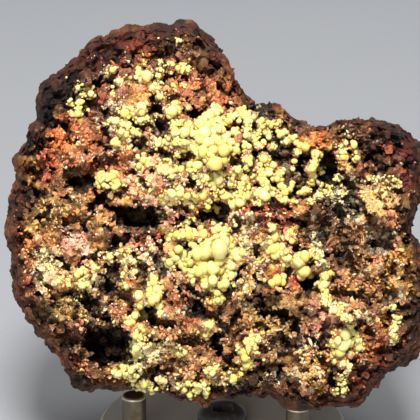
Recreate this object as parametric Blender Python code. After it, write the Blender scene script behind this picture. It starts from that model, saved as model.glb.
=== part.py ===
"""Mimetite specimen on a three-peg display stand.

The stone is a lump of iron-oxide matrix with steep-sided hollows. Crusts of round mimetite
crystals line the hollows. It rests on three steel pegs set in a round plate.

Frame: metres, +Z up, the stone's face looks along -Y. The origin is the middle of the plate's
underside.

Places on the stone's face are given as (x, y) steps of a square grid, y down, as one sees the
face from the eye point. A step is 0.2 mm on the face's plane, and (210, 210) is the face's middle.
"""

import math

import bmesh
import bpy
import numpy as np

STEP = 0.0002  # one grid step on the face's plane
GRID_MIDDLE = 210.0
FACE_MIDDLE = np.array([-0.0026, -0.0080, 0.0555])
FACE_TILT = math.radians(20)  # the face leans back by this much
EYE_DISTANCE = 0.450

FACE_RIGHT = np.array([1.0, 0.0, 0.0])
FACE_UP = np.array([0.0, math.sin(FACE_TILT), math.cos(FACE_TILT)])
FACE_OUT = np.array([0.0, -math.cos(FACE_TILT), math.sin(FACE_TILT)])

GAP = 0.0003  # clearance between neighbours

PLATE_RADIUS = 0.026
PLATE_THICKNESS = 0.005
PLATE_EDGE = 0.0006
POST_RADIUS = 0.0025
POST_TOP = 0.0146
POST_CHAMFER = 0.0004
POST_CIRCLE = 0.0197
POST_ANGLES = {"post_right": -38.6, "post_left": -158.6, "post_back": 81.4}
SOCKET_DEPTH = 0.0025
SCREW_HEAD_RADIUS = 0.00525
SCREW_HEAD_HEIGHT = 0.0030
SCREW_RADIUS = 0.0030
SCREW_LENGTH = 0.0036
SCREW_SOCKET = 0.0040  # across flats
SCREW_SOCKET_DEPTH = 0.0018
ROUND_SIDES = 28

STONE_CELLS = 40  # cells across the front; the back has half as many
STONE_CENTRE = (215.0, 240.0)
RIM_OUT = -0.0040  # the outline's place along FACE_OUT
FRONT_DEPTH = 0.0140
BACK_DEPTH = 0.0440
TOP_THINNING = 0.30  # the back is this much shallower at the stone's top
FRONT_ROUNDNESS = 2.6
BACK_ROUNDNESS = 2.8
EVENING_ANGLE = math.radians(40)
UNDERSIDE_ROUGHNESS = 0.0018
CONTACT_RADIUS = 0.0032
CONTACT_BLEND = 0.0045

RIM_CELLS = 2  # cells along the outline that carry no crust
CRUST_THICKNESS = 0.0007
CRUST_RISE = 0.0008  # along FACE_OUT, so that it clears sloping faces too
CRUST_STEEPEST = 0.0032  # a cell that climbs more than this carries no crust

# The stone's outline on the grid, clockwise from its top
OUTLINE = [
    (180, 18.5), (194, 21), (204, 32), (217, 42), (226, 53), (235, 73), (245, 94), (256, 105), (275, 104),
    (291, 117), (304, 122), (312, 127), (330, 124), (350, 119), (370, 120), (389, 124), (402, 129),
    (420, 141), (424, 160), (424, 190), (416, 208), (410.5, 222), (414, 233), (423, 248), (428, 280),
    (427, 335), (419, 355), (404, 365), (384, 374), (378, 386), (364, 400), (343, 407), (320, 411),
    (311, 406), (288, 405), (272, 393), (258, 397), (244, 394), (231, 398), (219, 396), (207, 403),
    (188, 401), (176, 398), (155, 391), (113, 389), (96, 389), (88, 393), (73, 387), (66, 372), (58, 356),
    (44, 342), (28, 321), (19, 308), (12, 286), (14, 256), (4, 236), (2, 222), (5, 206), (12, 190),
    (14, 172), (14, 156), (25, 140), (26, 126), (37, 117), (36, 101), (40, 84), (57, 69), (78, 55),
    (86, 41), (106, 35.5), (130, 29), (160, 20), (169, 24),
]

# Broad swells of the face: x, y, spread across, spread up, height in mm
SWELLS = [
    (225, 150, 75, 45, 3.5), (60, 212, 38, 26, 3.5), (42, 272, 26, 34, 1.5), (150, 188, 44, 16, 3.0),
    (205, 265, 38, 32, 2.5), (252, 228, 20, 24, 3.0), (385, 200, 30, 36, 2.5), (340, 335, 34, 44, 3.0),
    (120, 374, 46, 16, 3.0), (182, 312, 20, 18, 2.0), (300, 385, 44, 18, 1.5), (110, 130, 60, 36, 1.5),
    (120, 45, 60, 16, -2.5), (60, 330, 34, 30, -1.5), (405, 335, 18, 36, -3.0), (330, 235, 26, 40, -1.5),
]

# Hollows of the face: x, y, half width, half height, turn in degrees clockwise, depth in mm
HOLLOWS = [
    (85, 184, 17, 12, 0, 6.5), (97, 200, 12, 10, 30, 6.0), (130, 214, 28, 14, 22, 9.0),
    (122, 238, 13, 9, 0, 3.5), (112, 345, 26, 20, -10, 11.0), (145, 314, 12, 12, 0, 2.0),
    (210, 214, 16, 13, 0, 5.0), (158, 110, 11, 10, 0, 3.0), (195, 112, 12, 10, 0, 3.0),
    (160, 131, 11, 10, 0, 2.6), (182, 157, 11, 10, 0, 2.6), (296, 190, 11, 13, 0, 3.0),
    (326, 172, 11, 21, 0, 3.6), (300, 247, 14, 10, 0, 3.0), (312, 282, 12, 15, 0, 4.0),
    (202, 309, 11, 11, 0, 3.0), (328, 378, 11, 13, 0, 2.6), (112, 278, 12, 21, 0, 3.6),
    (46, 118, 11, 22, 14, 2.6), (66, 88, 22, 11, -38, 2.6),
]

# Round crystals that stand out of each crust: x, y, radius, with the crust's own border
CRUSTS = {
    "mimetite_crown": {
        "border": [
            (158, 122), (172, 113), (192, 120), (206, 106), (222, 103), (246, 104), (264, 114),
            (290, 118), (308, 138), (322, 150), (322, 176), (312, 196), (290, 204), (262, 206),
            (240, 212), (222, 203), (206, 204), (204, 186), (190, 176), (192, 160), (176, 150),
            (154, 152), (150, 142),
        ],
        "crystals": [
            (215, 112, 6), (208, 126, 6), (218, 121, 6), (205, 132, 7), (200, 140, 6), (208, 143, 7),
            (203, 151, 7), (213, 150, 6), (224, 150, 7), (236, 150, 5), (215, 163, 9), (197, 165, 6),
            (218, 179, 7), (240, 112, 6), (253, 116, 5), (264, 159, 6), (264, 176, 6), (264, 196, 7),
            (240, 203, 6), (185, 132, 6), (175, 131, 5), (184, 142, 5), (161, 144, 5), (282, 133, 5),
            (302, 146, 6), (317, 156, 6), (314, 170, 6), (281, 186, 5), (307, 188, 5), (218, 140, 5),
        ],
    },
    "mimetite_left_arm": {
        "border": [
            (92, 170), (116, 166), (136, 154), (156, 153), (174, 164), (184, 182), (194, 190),
            (196, 210), (170, 208), (150, 203), (124, 192), (94, 192),
        ],
        "crystals": [
            (143, 160, 6), (102, 176, 5), (113, 177, 6), (117, 184, 4), (101, 184, 4), (165, 169, 5),
            (172, 193, 6), (180, 193, 6), (188, 197, 5),
        ],
    },
    "mimetite_centre": {
        "border": [
            (164, 222), (196, 216), (214, 226), (232, 224), (244, 242), (250, 264), (238, 284),
            (228, 302), (208, 304), (196, 288), (188, 270), (166, 266), (158, 252), (166, 240),
        ],
        "crystals": [
            (182, 256, 8), (197, 253, 7), (206, 251, 9), (219, 249, 10), (224, 240, 7), (238, 257, 7),
            (205, 268, 9), (214, 270, 8), (231, 268, 6), (225, 283, 7), (213, 281, 7), (217, 294, 5),
            (183, 235, 5), (190, 235, 5), (203, 234, 6), (172, 234, 5), (218, 228, 6),
        ],
    },
    "mimetite_right_hollow": {
        "border": [
            (264, 226), (284, 222), (292, 248), (312, 250), (318, 272), (300, 284), (276, 292), (264, 280),
            (264, 250),
        ],
        "crystals": [
            (275, 236, 6), (274, 248, 8), (279, 254, 6), (288, 259, 6), (300, 263, 7), (304, 271, 7),
            (277, 281, 7), (305, 256, 6),
        ],
    },
    "mimetite_left_band": {
        "border": [
            (134, 288), (148, 270), (164, 274), (170, 300), (166, 324), (148, 334), (118, 332), (112, 318),
            (128, 306),
        ],
        "crystals": [
            (139, 296, 6), (152, 300, 6), (139, 318, 7), (129, 323, 5), (157, 290, 6), (159, 306, 5),
            (154, 278, 4),
        ],
    },
    "mimetite_lower_right": {
        "border": [
            (316, 268), (336, 268), (338, 296), (356, 314), (366, 340), (360, 366), (344, 376),
            (330, 362), (332, 338), (318, 306),
        ],
        "crystals": [
            (326, 278, 6), (326, 292, 6), (345, 335, 8), (342, 346, 8), (350, 343, 6), (340, 354, 6),
            (358, 344, 6), (332, 312, 5), (346, 322, 5),
        ],
    },
    "mimetite_foot": {
        "border": [
            (108, 362), (128, 336), (148, 330), (150, 366), (192, 370), (214, 362), (242, 368), (240, 384),
            (206, 396), (150, 392), (112, 382),
        ],
        "crystals": [
            (136, 338, 6), (136, 348, 6), (130, 357, 6), (127, 364, 6), (122, 372, 6), (144, 384, 6),
            (162, 381, 5), (188, 384, 5), (204, 385, 5), (212, 373, 6), (234, 378, 5),
        ],
    },
}

MATRIX_COLOUR = (0.16, 0.085, 0.045)
MIMETITE_COLOUR = (0.72, 0.62, 0.18)
PLATE_COLOUR = (0.16, 0.15, 0.13)
SCREW_COLOUR = (0.015, 0.015, 0.017)
POST_COLOUR = (0.42, 0.39, 0.35)


def clear_scene():
    """Remove what a new file holds."""
    for thing in list(bpy.data.objects):
        bpy.data.objects.remove(thing, do_unlink=True)


def material(name, colour, roughness, metallic):
    """A Principled material of one colour."""
    made = bpy.data.materials.new(name)
    made.use_nodes = True
    shader = made.node_tree.nodes["Principled BSDF"]
    shader.inputs["Base Color"].default_value = (*colour, 1.0)
    shader.inputs["Roughness"].default_value = roughness
    shader.inputs["Metallic"].default_value = metallic
    return made


def add_mesh(name, points, faces, surface):
    """An object made of the points and faces, with faces turned outward."""
    mesh = bpy.data.meshes.new(name)
    mesh.from_pydata([tuple(map(float, point)) for point in points], [], faces)
    shape = bmesh.new()
    shape.from_mesh(mesh)
    bmesh.ops.recalc_face_normals(shape, faces=shape.faces)
    shape.to_mesh(mesh)
    shape.free()
    mesh.materials.append(surface)
    made = bpy.data.objects.new(name, mesh)
    bpy.context.collection.objects.link(made)
    return made


def turned(name, profile, sides, surface, turn=0.0):
    """A solid turned about Z from (radius, height) points, listed from the bottom to the top."""
    angles = turn + np.arange(sides) * 2 * math.pi / sides
    points = [(r * math.cos(a), r * math.sin(a), z) for r, z in profile for a in angles]
    faces = [list(range(sides))[::-1]]
    for ring in range(len(profile) - 1):
        low, high = ring * sides, (ring + 1) * sides
        for k in range(sides):
            after = (k + 1) % sides
            faces.append([low + k, low + after, high + after, high + k])
    faces.append([(len(profile) - 1) * sides + k for k in range(sides)])
    made = add_mesh(name, points, faces, surface)
    made.data.shade_smooth()
    made.data.set_sharp_from_angle(angle=math.radians(35))
    return made


def cut(target, cutter):
    """Take the cutter's shape out of the target."""
    cutter.hide_render = True
    cutter.display_type = "WIRE"
    step = target.modifiers.new(cutter.name, "BOOLEAN")
    step.operation = "DIFFERENCE"
    step.solver = "EXACT"
    step.object = cutter


def post_place(name):
    """A post's place on the plate."""
    angle = math.radians(POST_ANGLES[name])
    return np.array([POST_CIRCLE * math.cos(angle), POST_CIRCLE * math.sin(angle)])


def build_plate(surface):
    """The round plate, with a blind hole for the screw and one for each post."""
    rim = PLATE_RADIUS - PLATE_EDGE
    profile = [
        (rim, 0.0),
        (PLATE_RADIUS, PLATE_EDGE),
        (PLATE_RADIUS, PLATE_THICKNESS - PLATE_EDGE),
        (rim, PLATE_THICKNESS),
    ]
    plate = turned("base_disc", profile, 2 * ROUND_SIDES, surface)
    above = PLATE_THICKNESS + 0.001
    holes = {"screw_hole": (np.zeros(2), SCREW_RADIUS + GAP, SCREW_LENGTH + GAP)}
    for name in POST_ANGLES:
        holes[name + "_hole"] = (post_place(name), POST_RADIUS + GAP, SOCKET_DEPTH)
    for name, (place, radius, depth) in holes.items():
        low = PLATE_THICKNESS - depth
        cutter = turned(name, [(radius, low), (radius, above)], ROUND_SIDES, surface)
        cutter.location = (*place, 0.0)
        cut(plate, cutter)


def build_screw(surface):
    """The button-head screw, with its hexagon socket."""
    seat = PLATE_THICKNESS + GAP
    radius, height = SCREW_HEAD_RADIUS, SCREW_HEAD_HEIGHT
    dome = [
        (radius * (0.55 + 0.45 * math.cos(a)), seat + 0.0006 + (height - 0.0006) * math.sin(a))
        for a in np.linspace(0.0, math.pi / 2, 4)
    ]
    profile = [(SCREW_RADIUS, seat - SCREW_LENGTH), (SCREW_RADIUS, seat), (radius, seat), *dome]
    screw = turned("base_screw", profile, ROUND_SIDES, surface)
    corner = SCREW_SOCKET / 2 / math.cos(math.pi / 6)
    low = seat + height - SCREW_SOCKET_DEPTH
    cut(screw, turned("screw_socket", [(corner, low), (corner, low + 0.01)], 6, surface, math.pi / 6))


def build_post(name, surface):
    """One steel peg, with a chamfer around its top."""
    bottom = PLATE_THICKNESS - SOCKET_DEPTH + GAP
    chamfered = POST_RADIUS - POST_CHAMFER
    profile = [
        (POST_RADIUS, bottom),
        (POST_RADIUS, POST_TOP - POST_CHAMFER),
        (chamfered, POST_TOP),
    ]
    post = turned(name, profile, ROUND_SIDES // 2, surface)
    post.location = (*post_place(name), 0.0)


def smooth(low, high, value):
    """0 below low, 1 above high, and a smooth step between."""
    t = np.clip((value - low) / (high - low), 0.0, 1.0)
    return t * t * (3.0 - 2.0 * t)


def lattice_value(cell, seed):
    """A fixed value from -1 to 1 for each whole-numbered place."""
    key = cell.astype(np.int64) @ np.array([73856093, 19349663, 83492791], dtype=np.int64)
    key = (key + seed * 2654435761) & 0x7FFFFFFF
    key = (key ^ (key >> 13)) * 1274126177 & 0x7FFFFFFF
    key = (key ^ (key >> 16)) * 668265263 & 0x7FFFFFFF
    return (key ^ (key >> 15)) / float(0x7FFFFFFF) * 2.0 - 1.0


def noise(points, size, seed):
    """Smooth noise from -1 to 1 over space, with lumps of about the given size."""
    scaled = np.asarray(points) / size
    cell = np.floor(scaled).astype(np.int64)
    part = scaled - cell
    part = part * part * (3.0 - 2.0 * part)
    total = np.zeros(scaled.shape[:-1])
    for corner in np.ndindex(2, 2, 2):
        weight = np.prod(np.where(corner, part, 1.0 - part), axis=-1)
        total = total + weight * lattice_value(cell + np.array(corner), seed)
    return total


def place(x, y, out):
    """The point in space at grid place (x, y), this far out from the face's plane."""
    scale = STEP * (1.0 - out / EYE_DISTANCE)
    across = ((x - GRID_MIDDLE) * scale)[..., None] * FACE_RIGHT
    up = ((GRID_MIDDLE - y) * scale)[..., None] * FACE_UP
    return FACE_MIDDLE + across + up + out[..., None] * FACE_OUT


def outline_radius(angle):
    """The outline's distance from the stone's centre, in grid steps, at each angle."""
    points = np.array(OUTLINE, dtype=float)
    dx, dy = points[:, 0] - STONE_CENTRE[0], STONE_CENTRE[1] - points[:, 1]
    angles, radii = np.arctan2(dy, dx), np.hypot(dx, dy)
    order = np.argsort(angles)
    return np.interp(angle, angles[order], radii[order], period=2 * math.pi)


def reach(angle, radius, back):
    """The distance from the centre, in grid steps, at a share of the way to the outline.

    The rings even out towards the middle. On the back, lobes shrink and notches stay."""
    exact = outline_radius(angle)
    turns = np.linspace(-EVENING_ANGLE, EVENING_ANGLE, 9)
    even = sum(outline_radius(angle + turn) for turn in turns) / len(turns)
    if back:
        exact = exact + (np.minimum(exact, even) - exact) * smooth(0.995, 0.92, radius)
    return radius * (even + (exact - even) * radius**3)


def arc(fraction, depth, roundness):
    """Radius and depth (0 to 1) at each fraction of the way from the middle to the rim.

    The section is r**n + d**n = 1, walked at an even pace over its real length."""
    turn = np.linspace(0.0, math.pi / 2, 400)
    radius = np.sin(turn) ** (2.0 / roundness)
    height = np.cos(turn) ** (2.0 / roundness)
    half_width = 190 * STEP
    pace = np.hypot(np.diff(radius) * half_width, np.diff(height) * depth)
    walked = np.concatenate([[0.0], np.cumsum(pace)])
    walked = walked / walked[-1]
    return np.interp(fraction, walked, radius), np.interp(fraction, walked, height)


def square_to_disc(a, b):
    """Map the square from -1 to 1 onto the unit disc: rings of squares become circles."""
    wide = np.abs(a) > np.abs(b)
    radius = np.where(wide, a, b)
    main = np.where(radius == 0.0, 1.0, radius)
    lean = np.where(wide, b, a) / main
    angle = np.where(wide, math.pi / 4 * lean, math.pi / 2 - math.pi / 4 * lean)
    return np.abs(radius), np.where(radius < 0.0, angle + math.pi, angle)


def face_relief(x, y):
    """Height in metres of the swells, less the hollows, at each grid place."""
    flat = np.stack([x, y, np.zeros_like(x)], axis=-1)
    height = 0.0012 * noise(flat, 46.0, 3) + 0.0006 * noise(flat, 20.0, 4)
    for cx, cy, wide, high, rise in SWELLS:
        height = height + 0.001 * rise * np.exp(-(((x - cx) / wide) ** 2) - ((y - cy) / high) ** 2)
    ragged = 0.12 * noise(flat, 16.0, 5)
    sunk = np.zeros_like(x)
    for cx, cy, wide, high, turn, depth in HOLLOWS:
        c, s = math.cos(math.radians(turn)), math.sin(math.radians(turn))
        along = ((x - cx) * c + (y - cy) * s) / wide
        beside = ((y - cy) * c - (x - cx) * s) / high
        edge = np.hypot(along, beside) + ragged
        sunk = np.maximum(sunk, 0.001 * depth * (1.0 - smooth(0.50, 1.20, edge)))
    return height - sunk


def front_surface(a, b):
    """Grid x, grid y and distance out for the stone's front, over the square."""
    ring, angle = square_to_disc(a, b)
    radius, height = arc(ring, FRONT_DEPTH, FRONT_ROUNDNESS)
    away = reach(angle, radius, False)
    x = STONE_CENTRE[0] + away * np.cos(angle)
    y = STONE_CENTRE[1] - away * np.sin(angle)
    inside = 1.0 - smooth(0.86, 1.0, radius)
    return x, y, RIM_OUT + FRONT_DEPTH * height + inside * face_relief(x, y)


def back_points(a, b):
    """Points in space for the stone's back, over the square."""
    ring, angle = square_to_disc(a, b)
    radius, height = arc(ring, BACK_DEPTH, BACK_ROUNDNESS)
    away = reach(angle, radius, True)
    x = STONE_CENTRE[0] + away * np.cos(angle)
    y = STONE_CENTRE[1] - away * np.sin(angle)
    thin = 1.0 - TOP_THINNING * smooth(260.0, 30.0, y)
    points = place(x, y, RIM_OUT - BACK_DEPTH * height * thin)
    core = place(np.full_like(x, STONE_CENTRE[0]), np.full_like(x, STONE_CENTRE[1]), np.full_like(x, -0.014))
    inward = core - points
    inward = inward / np.linalg.norm(inward, axis=-1, keepdims=True)
    worn = 0.0034 * (1.0 + noise(points, 0.016, 7)) + 0.0014 * (1.0 + noise(points, 0.007, 8))
    worn = worn * smooth(1.0, 0.86, ring)
    return points + inward * worn[..., None]


def rest_on_posts(points):
    """Bring the underside to the posts: rough and just clear of their tops, flat where it rests."""
    rest = POST_TOP + GAP
    rough = UNDERSIDE_ROUGHNESS * (0.55 + 0.45 * noise(points, 0.006, 9))
    off = np.full(points.shape[:-1], 1.0)
    for name in POST_ANGLES:
        away = np.linalg.norm(points[..., :2] - post_place(name), axis=-1)
        off = np.minimum(off, smooth(CONTACT_RADIUS, CONTACT_RADIUS + CONTACT_BLEND, away))
    height = points[..., 2]
    under = np.maximum(height, rest + rough * off)
    low = smooth(rest + 0.007, rest + 0.003, height)
    under = under + (1.0 - off) * low * (rest - under)
    result = points.copy()
    result[..., 2] = under
    return result


def fan(loop, middle):
    """Split a cell's loop of lattice places into triangles, from its innermost corner."""
    inner = min(range(len(loop)), key=lambda k: math.hypot(loop[k][0] - middle, loop[k][1] - middle))
    ring = loop[inner:] + loop[:inner]
    return [(ring[0], ring[k], ring[k + 1]) for k in range(1, len(ring) - 1)]


def cell_loop(i, j, size, cells):
    """The corners of one cell. A wide cell on the rim also takes the rim's halfway points."""
    far_i, far_j, half = i + size, j + size, size // 2
    loop = [(i, j)]
    if half and j == 0:
        loop.append((i + half, j))
    loop.append((far_i, j))
    if half and far_i == cells:
        loop.append((far_i, j + half))
    loop.append((far_i, far_j))
    if half and far_j == cells:
        loop.append((i + half, far_j))
    loop.append((i, far_j))
    if half and i == 0:
        loop.append((i, j + half))
    return loop


def build_stone(surface):
    """The matrix: a front lattice and a coarser back lattice that share the rim."""
    cells = STONE_CELLS
    side = np.linspace(-1.0, 1.0, cells + 1)
    a, b = np.meshgrid(side, side, indexing="ij")
    front = rest_on_posts(place(*front_surface(a, b)))
    back = rest_on_posts(back_points(a, b))
    points, numbers = [], {}

    def number(kind, spot):
        rim = 0 in spot or cells in spot
        key = ("front" if rim else kind, spot)
        if key not in numbers:
            numbers[key] = len(points)
            points.append((front if key[0] == "front" else back)[spot])
        return numbers[key]

    faces = []
    for kind, size in (("front", 1), ("back", 2)):
        for i in range(0, cells, size):
            for j in range(0, cells, size):
                for triangle in fan(cell_loop(i, j, size, cells), cells / 2):
                    faces.append([number(kind, spot) for spot in triangle])
    add_mesh("matrix_stone", points, faces, surface)


def inside_border(x, y, border):
    """Whether each place lies within a closed border, by counting crossings."""
    inside = np.zeros(x.shape, dtype=bool)
    for (x0, y0), (x1, y1) in zip(border, border[1:] + border[:1]):
        if y0 == y1:
            continue
        crosses = (y0 > y) != (y1 > y)
        inside ^= crosses & (x < (x1 - x0) * (y - y0) / (y1 - y0) + x0)
    return inside


def join_corners(chosen):
    """Fill cells until no two chosen cells meet only at a corner."""
    for _ in range(8):
        p, q, r, s = chosen[:-1, :-1], chosen[1:, :-1], chosen[:-1, 1:], chosen[1:, 1:]
        rising, falling = p & s & ~q & ~r, q & r & ~p & ~s
        q |= rising
        p |= falling
    return chosen


def largest_patch(chosen):
    """Keep only the largest group of cells that share edges."""
    left = set(map(tuple, np.argwhere(chosen)))
    best = []
    while left:
        group, todo = [], [left.pop()]
        while todo:
            i, j = todo.pop()
            group.append((i, j))
            for near in ((i + 1, j), (i - 1, j), (i, j + 1), (i, j - 1)):
                if near in left:
                    left.remove(near)
                    todo.append(near)
        best = max(best, group, key=len)
    kept = np.zeros_like(chosen)
    kept[tuple(np.array(best).T)] = True
    return kept


def widened(chosen):
    """The cells and all their neighbours."""
    wide = np.pad(chosen, 1)
    grown = np.zeros_like(wide)
    for i in (-1, 0, 1):
        for j in (-1, 0, 1):
            grown |= np.roll(wide, (i, j), (0, 1))
    return grown[1:-1, 1:-1]


def halfway(values):
    """Values on a lattice twice as fine, straight between those of the coarse lattice.

    A cell's middle lies on the diagonal that its two triangles share."""
    cells = values.shape[0] - 1
    fine = np.zeros((2 * cells + 1, 2 * cells + 1))
    fine[::2, ::2] = values
    fine[1::2, ::2] = (values[:-1] + values[1:]) / 2
    fine[::2, 1::2] = (values[:, :-1] + values[:, 1:]) / 2
    falling = (values[:-1, :-1] + values[1:, 1:]) / 2
    rising = (values[1:, :-1] + values[:-1, 1:]) / 2
    side = np.arange(cells) + 0.5 > cells / 2
    fine[1::2, 1::2] = np.where(side[:, None] == side[None, :], falling, rising)
    return fine


def blurred(values):
    """Each value averaged with its neighbours."""
    around = np.pad(values, 1, mode="edge")
    spots = [around[i:i + values.shape[0], j:j + values.shape[1]] for i in range(3) for j in range(3)]
    return sum(spots) / len(spots)


def crust_top(x, y, base, crystals):
    """The crust's outer surface: a plate that evens out the stone, with balls half sunk in it."""
    top = np.maximum(base, blurred(blurred(base))) + CRUST_THICKNESS
    for cx, cy, radius in crystals:
        away = np.hypot(x - cx, y - cy)
        nearest = np.unravel_index(np.argmin(away), away.shape)
        swell = np.maximum(1.0 - (away / (1.4 * radius)) ** 2, 0.0)
        lump = base[nearest] + CRUST_THICKNESS + 0.8 * radius * STEP * swell
        top = np.where(swell > 0.0, np.maximum(top, lump), top)
    return top


def build_crust(name, chosen, crystals, surface):
    """A closed plate of crystals over the chosen cells of the stone's front."""
    cells = STONE_CELLS
    side = np.linspace(-1.0, 1.0, cells + 1)
    x, y, out = front_surface(*np.meshgrid(side, side, indexing="ij"))
    fine_x, fine_y, fine_base = halfway(x), halfway(y), halfway(out + CRUST_RISE)
    bottom = place(fine_x, fine_y, fine_base)
    top = place(fine_x, fine_y, crust_top(fine_x, fine_y, fine_base, crystals))
    points, numbers = [], {}

    def number(kind, spot):
        if (kind, spot) not in numbers:
            numbers[kind, spot] = len(points)
            points.append((top if kind == "top" else bottom)[spot])
        return numbers[kind, spot]

    faces = []
    for i, j in map(tuple, np.argwhere(chosen)):
        for kind, size in (("bottom", 2), ("top", 1)):
            for di in range(0, 2, size):
                for dj in range(0, 2, size):
                    loop = cell_loop(2 * i + di, 2 * j + dj, size, 0)[:4]
                    for triangle in fan(loop, cells):
                        faces.append([number(kind, spot) for spot in triangle])
        edges = {(0, -1): ((0, 0), (2, 0)), (1, 0): ((2, 0), (2, 2)),
                 (0, 1): ((2, 2), (0, 2)), (-1, 0): ((0, 2), (0, 0))}
        for (di, dj), (one, two) in edges.items():
            if chosen[i + di, j + dj]:
                continue
            start = (2 * i + one[0], 2 * j + one[1])
            end = (2 * i + two[0], 2 * j + two[1])
            half = ((start[0] + end[0]) // 2, (start[1] + end[1]) // 2)
            low_start, low_end = number("bottom", start), number("bottom", end)
            high_half = number("top", half)
            faces.append([low_start, low_end, high_half])
            faces.append([low_start, high_half, number("top", start)])
            faces.append([low_end, number("top", end), high_half])
    add_mesh(name, points, faces, surface)


def build_crusts(surface):
    """All the crusts, each kept one cell clear of those before it."""
    cells = STONE_CELLS
    side = (np.arange(cells) + 0.5) / cells * 2.0 - 1.0
    x, y, _ = front_surface(*np.meshgrid(side, side, indexing="ij"))
    corner = np.linspace(-1.0, 1.0, cells + 1)
    out = front_surface(*np.meshgrid(corner, corner, indexing="ij"))[2]
    corners = np.stack([out[:-1, :-1], out[1:, :-1], out[:-1, 1:], out[1:, 1:]])
    climb = corners.max(axis=0) - corners.min(axis=0)
    taken = np.zeros((cells, cells), dtype=bool)
    usable = np.zeros_like(taken)
    usable[RIM_CELLS:-RIM_CELLS, RIM_CELLS:-RIM_CELLS] = True
    usable &= climb < CRUST_STEEPEST
    for name, crust in CRUSTS.items():
        chosen = inside_border(x, y, crust["border"]) & ~widened(taken) & usable
        chosen = largest_patch(join_corners(largest_patch(chosen)))
        taken |= chosen
        build_crust(name, chosen, crust["crystals"], surface)


def main():
    """Build every piece where it stands."""
    clear_scene()
    build_plate(material("frosted_acrylic", PLATE_COLOUR, 0.45, 0.0))
    build_screw(material("black_screw", SCREW_COLOUR, 0.25, 0.6))
    steel = material("nickel_steel", POST_COLOUR, 0.35, 0.9)
    for name in POST_ANGLES:
        build_post(name, steel)
    build_stone(material("iron_oxide_matrix", MATRIX_COLOUR, 0.85, 0.0))
    build_crusts(material("mimetite", MIMETITE_COLOUR, 0.4, 0.0))


main()
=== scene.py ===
"""The finished look of a mimetite specimen on its peg stand.

The stone's face is described on a square grid, as seen from the eye point: x to the right, y down,
one step is 0.2 mm on the face's plane, and (210, 210) is the face's middle. A function of (x, y)
gives how far the face stands out there, so every crystal finds its own seat.
"""

import math

import bpy
import numpy as np
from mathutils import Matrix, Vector


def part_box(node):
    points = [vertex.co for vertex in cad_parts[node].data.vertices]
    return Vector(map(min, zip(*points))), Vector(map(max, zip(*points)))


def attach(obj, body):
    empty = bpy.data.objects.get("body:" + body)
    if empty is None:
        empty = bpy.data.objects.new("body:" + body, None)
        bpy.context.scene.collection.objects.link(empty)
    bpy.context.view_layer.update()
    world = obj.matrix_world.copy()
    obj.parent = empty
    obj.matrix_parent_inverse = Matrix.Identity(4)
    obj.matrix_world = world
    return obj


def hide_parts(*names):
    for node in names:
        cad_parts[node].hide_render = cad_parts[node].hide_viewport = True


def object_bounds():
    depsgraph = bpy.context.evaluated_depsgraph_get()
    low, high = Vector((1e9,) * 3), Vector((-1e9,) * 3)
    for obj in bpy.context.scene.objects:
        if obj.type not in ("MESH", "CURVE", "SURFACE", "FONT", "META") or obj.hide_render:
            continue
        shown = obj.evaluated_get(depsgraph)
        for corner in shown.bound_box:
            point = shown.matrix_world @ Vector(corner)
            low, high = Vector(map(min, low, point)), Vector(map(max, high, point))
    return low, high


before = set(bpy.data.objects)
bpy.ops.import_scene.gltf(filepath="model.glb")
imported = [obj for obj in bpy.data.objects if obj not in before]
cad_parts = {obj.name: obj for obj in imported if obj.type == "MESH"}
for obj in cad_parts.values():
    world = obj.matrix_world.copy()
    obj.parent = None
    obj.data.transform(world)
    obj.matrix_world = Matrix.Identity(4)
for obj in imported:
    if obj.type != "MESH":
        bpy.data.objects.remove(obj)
CAD_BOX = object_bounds()

bl_info = {
    "name": "Mimetite Specimen",
    "version": (1, 0, 0),
    "blender": (4, 5, 0),
    "location": "View3D > Sidebar > Mimetite",
    "description": "Builds the skin, crystals and stand of a mimetite specimen",
    "category": "Object",
}

# The face's grid, and the eye that sees it
STEP = 0.0002
GRID_MIDDLE = 210.0
FACE_MIDDLE = np.array([-0.0026, -0.0080, 0.0555])
FACE_TILT = math.radians(20)
EYE_DISTANCE = 0.450
FACE_RIGHT = np.array([1.0, 0.0, 0.0])
FACE_UP = np.array([0.0, math.sin(FACE_TILT), math.cos(FACE_TILT)])
FACE_OUT = np.array([0.0, -math.cos(FACE_TILT), math.sin(FACE_TILT)])

# The stone's body
STONE_CENTRE = (215.0, 240.0)
HALF_WIDTH = 190 * STEP
RIM_OUT = -0.0040
FRONT_DEPTH = 0.0140
BACK_DEPTH = 0.0440
TOP_THINNING = 0.30
FRONT_ROUNDNESS = 2.6
BACK_ROUNDNESS = 2.8
EVENING_ANGLE = math.radians(40)
SPINE_OUT = -0.014

# Where it rests
POSTS = ("post_left", "post_right", "post_back")
REST_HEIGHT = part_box("post_back")[1][2] + 0.0003
UNDERSIDE_ROUGHNESS = 0.0018
CONTACT_RADIUS = 0.0032
CONTACT_BLEND = 0.0045

# Its surface
PIT_DEPTH = 0.0034
LEDGE_SCALE = 1.5
BACK_CRAGS, RIM_CRAGS = 1.15, 0.7
# Painted shade on the rim: the share of red, green and blue that the rim's tint loses
RIM_SHADE = (0.62, 0.72, 0.78)
CREASE_ANGLE = math.radians(28)
WALL_MARGIN = 0.0012

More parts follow.
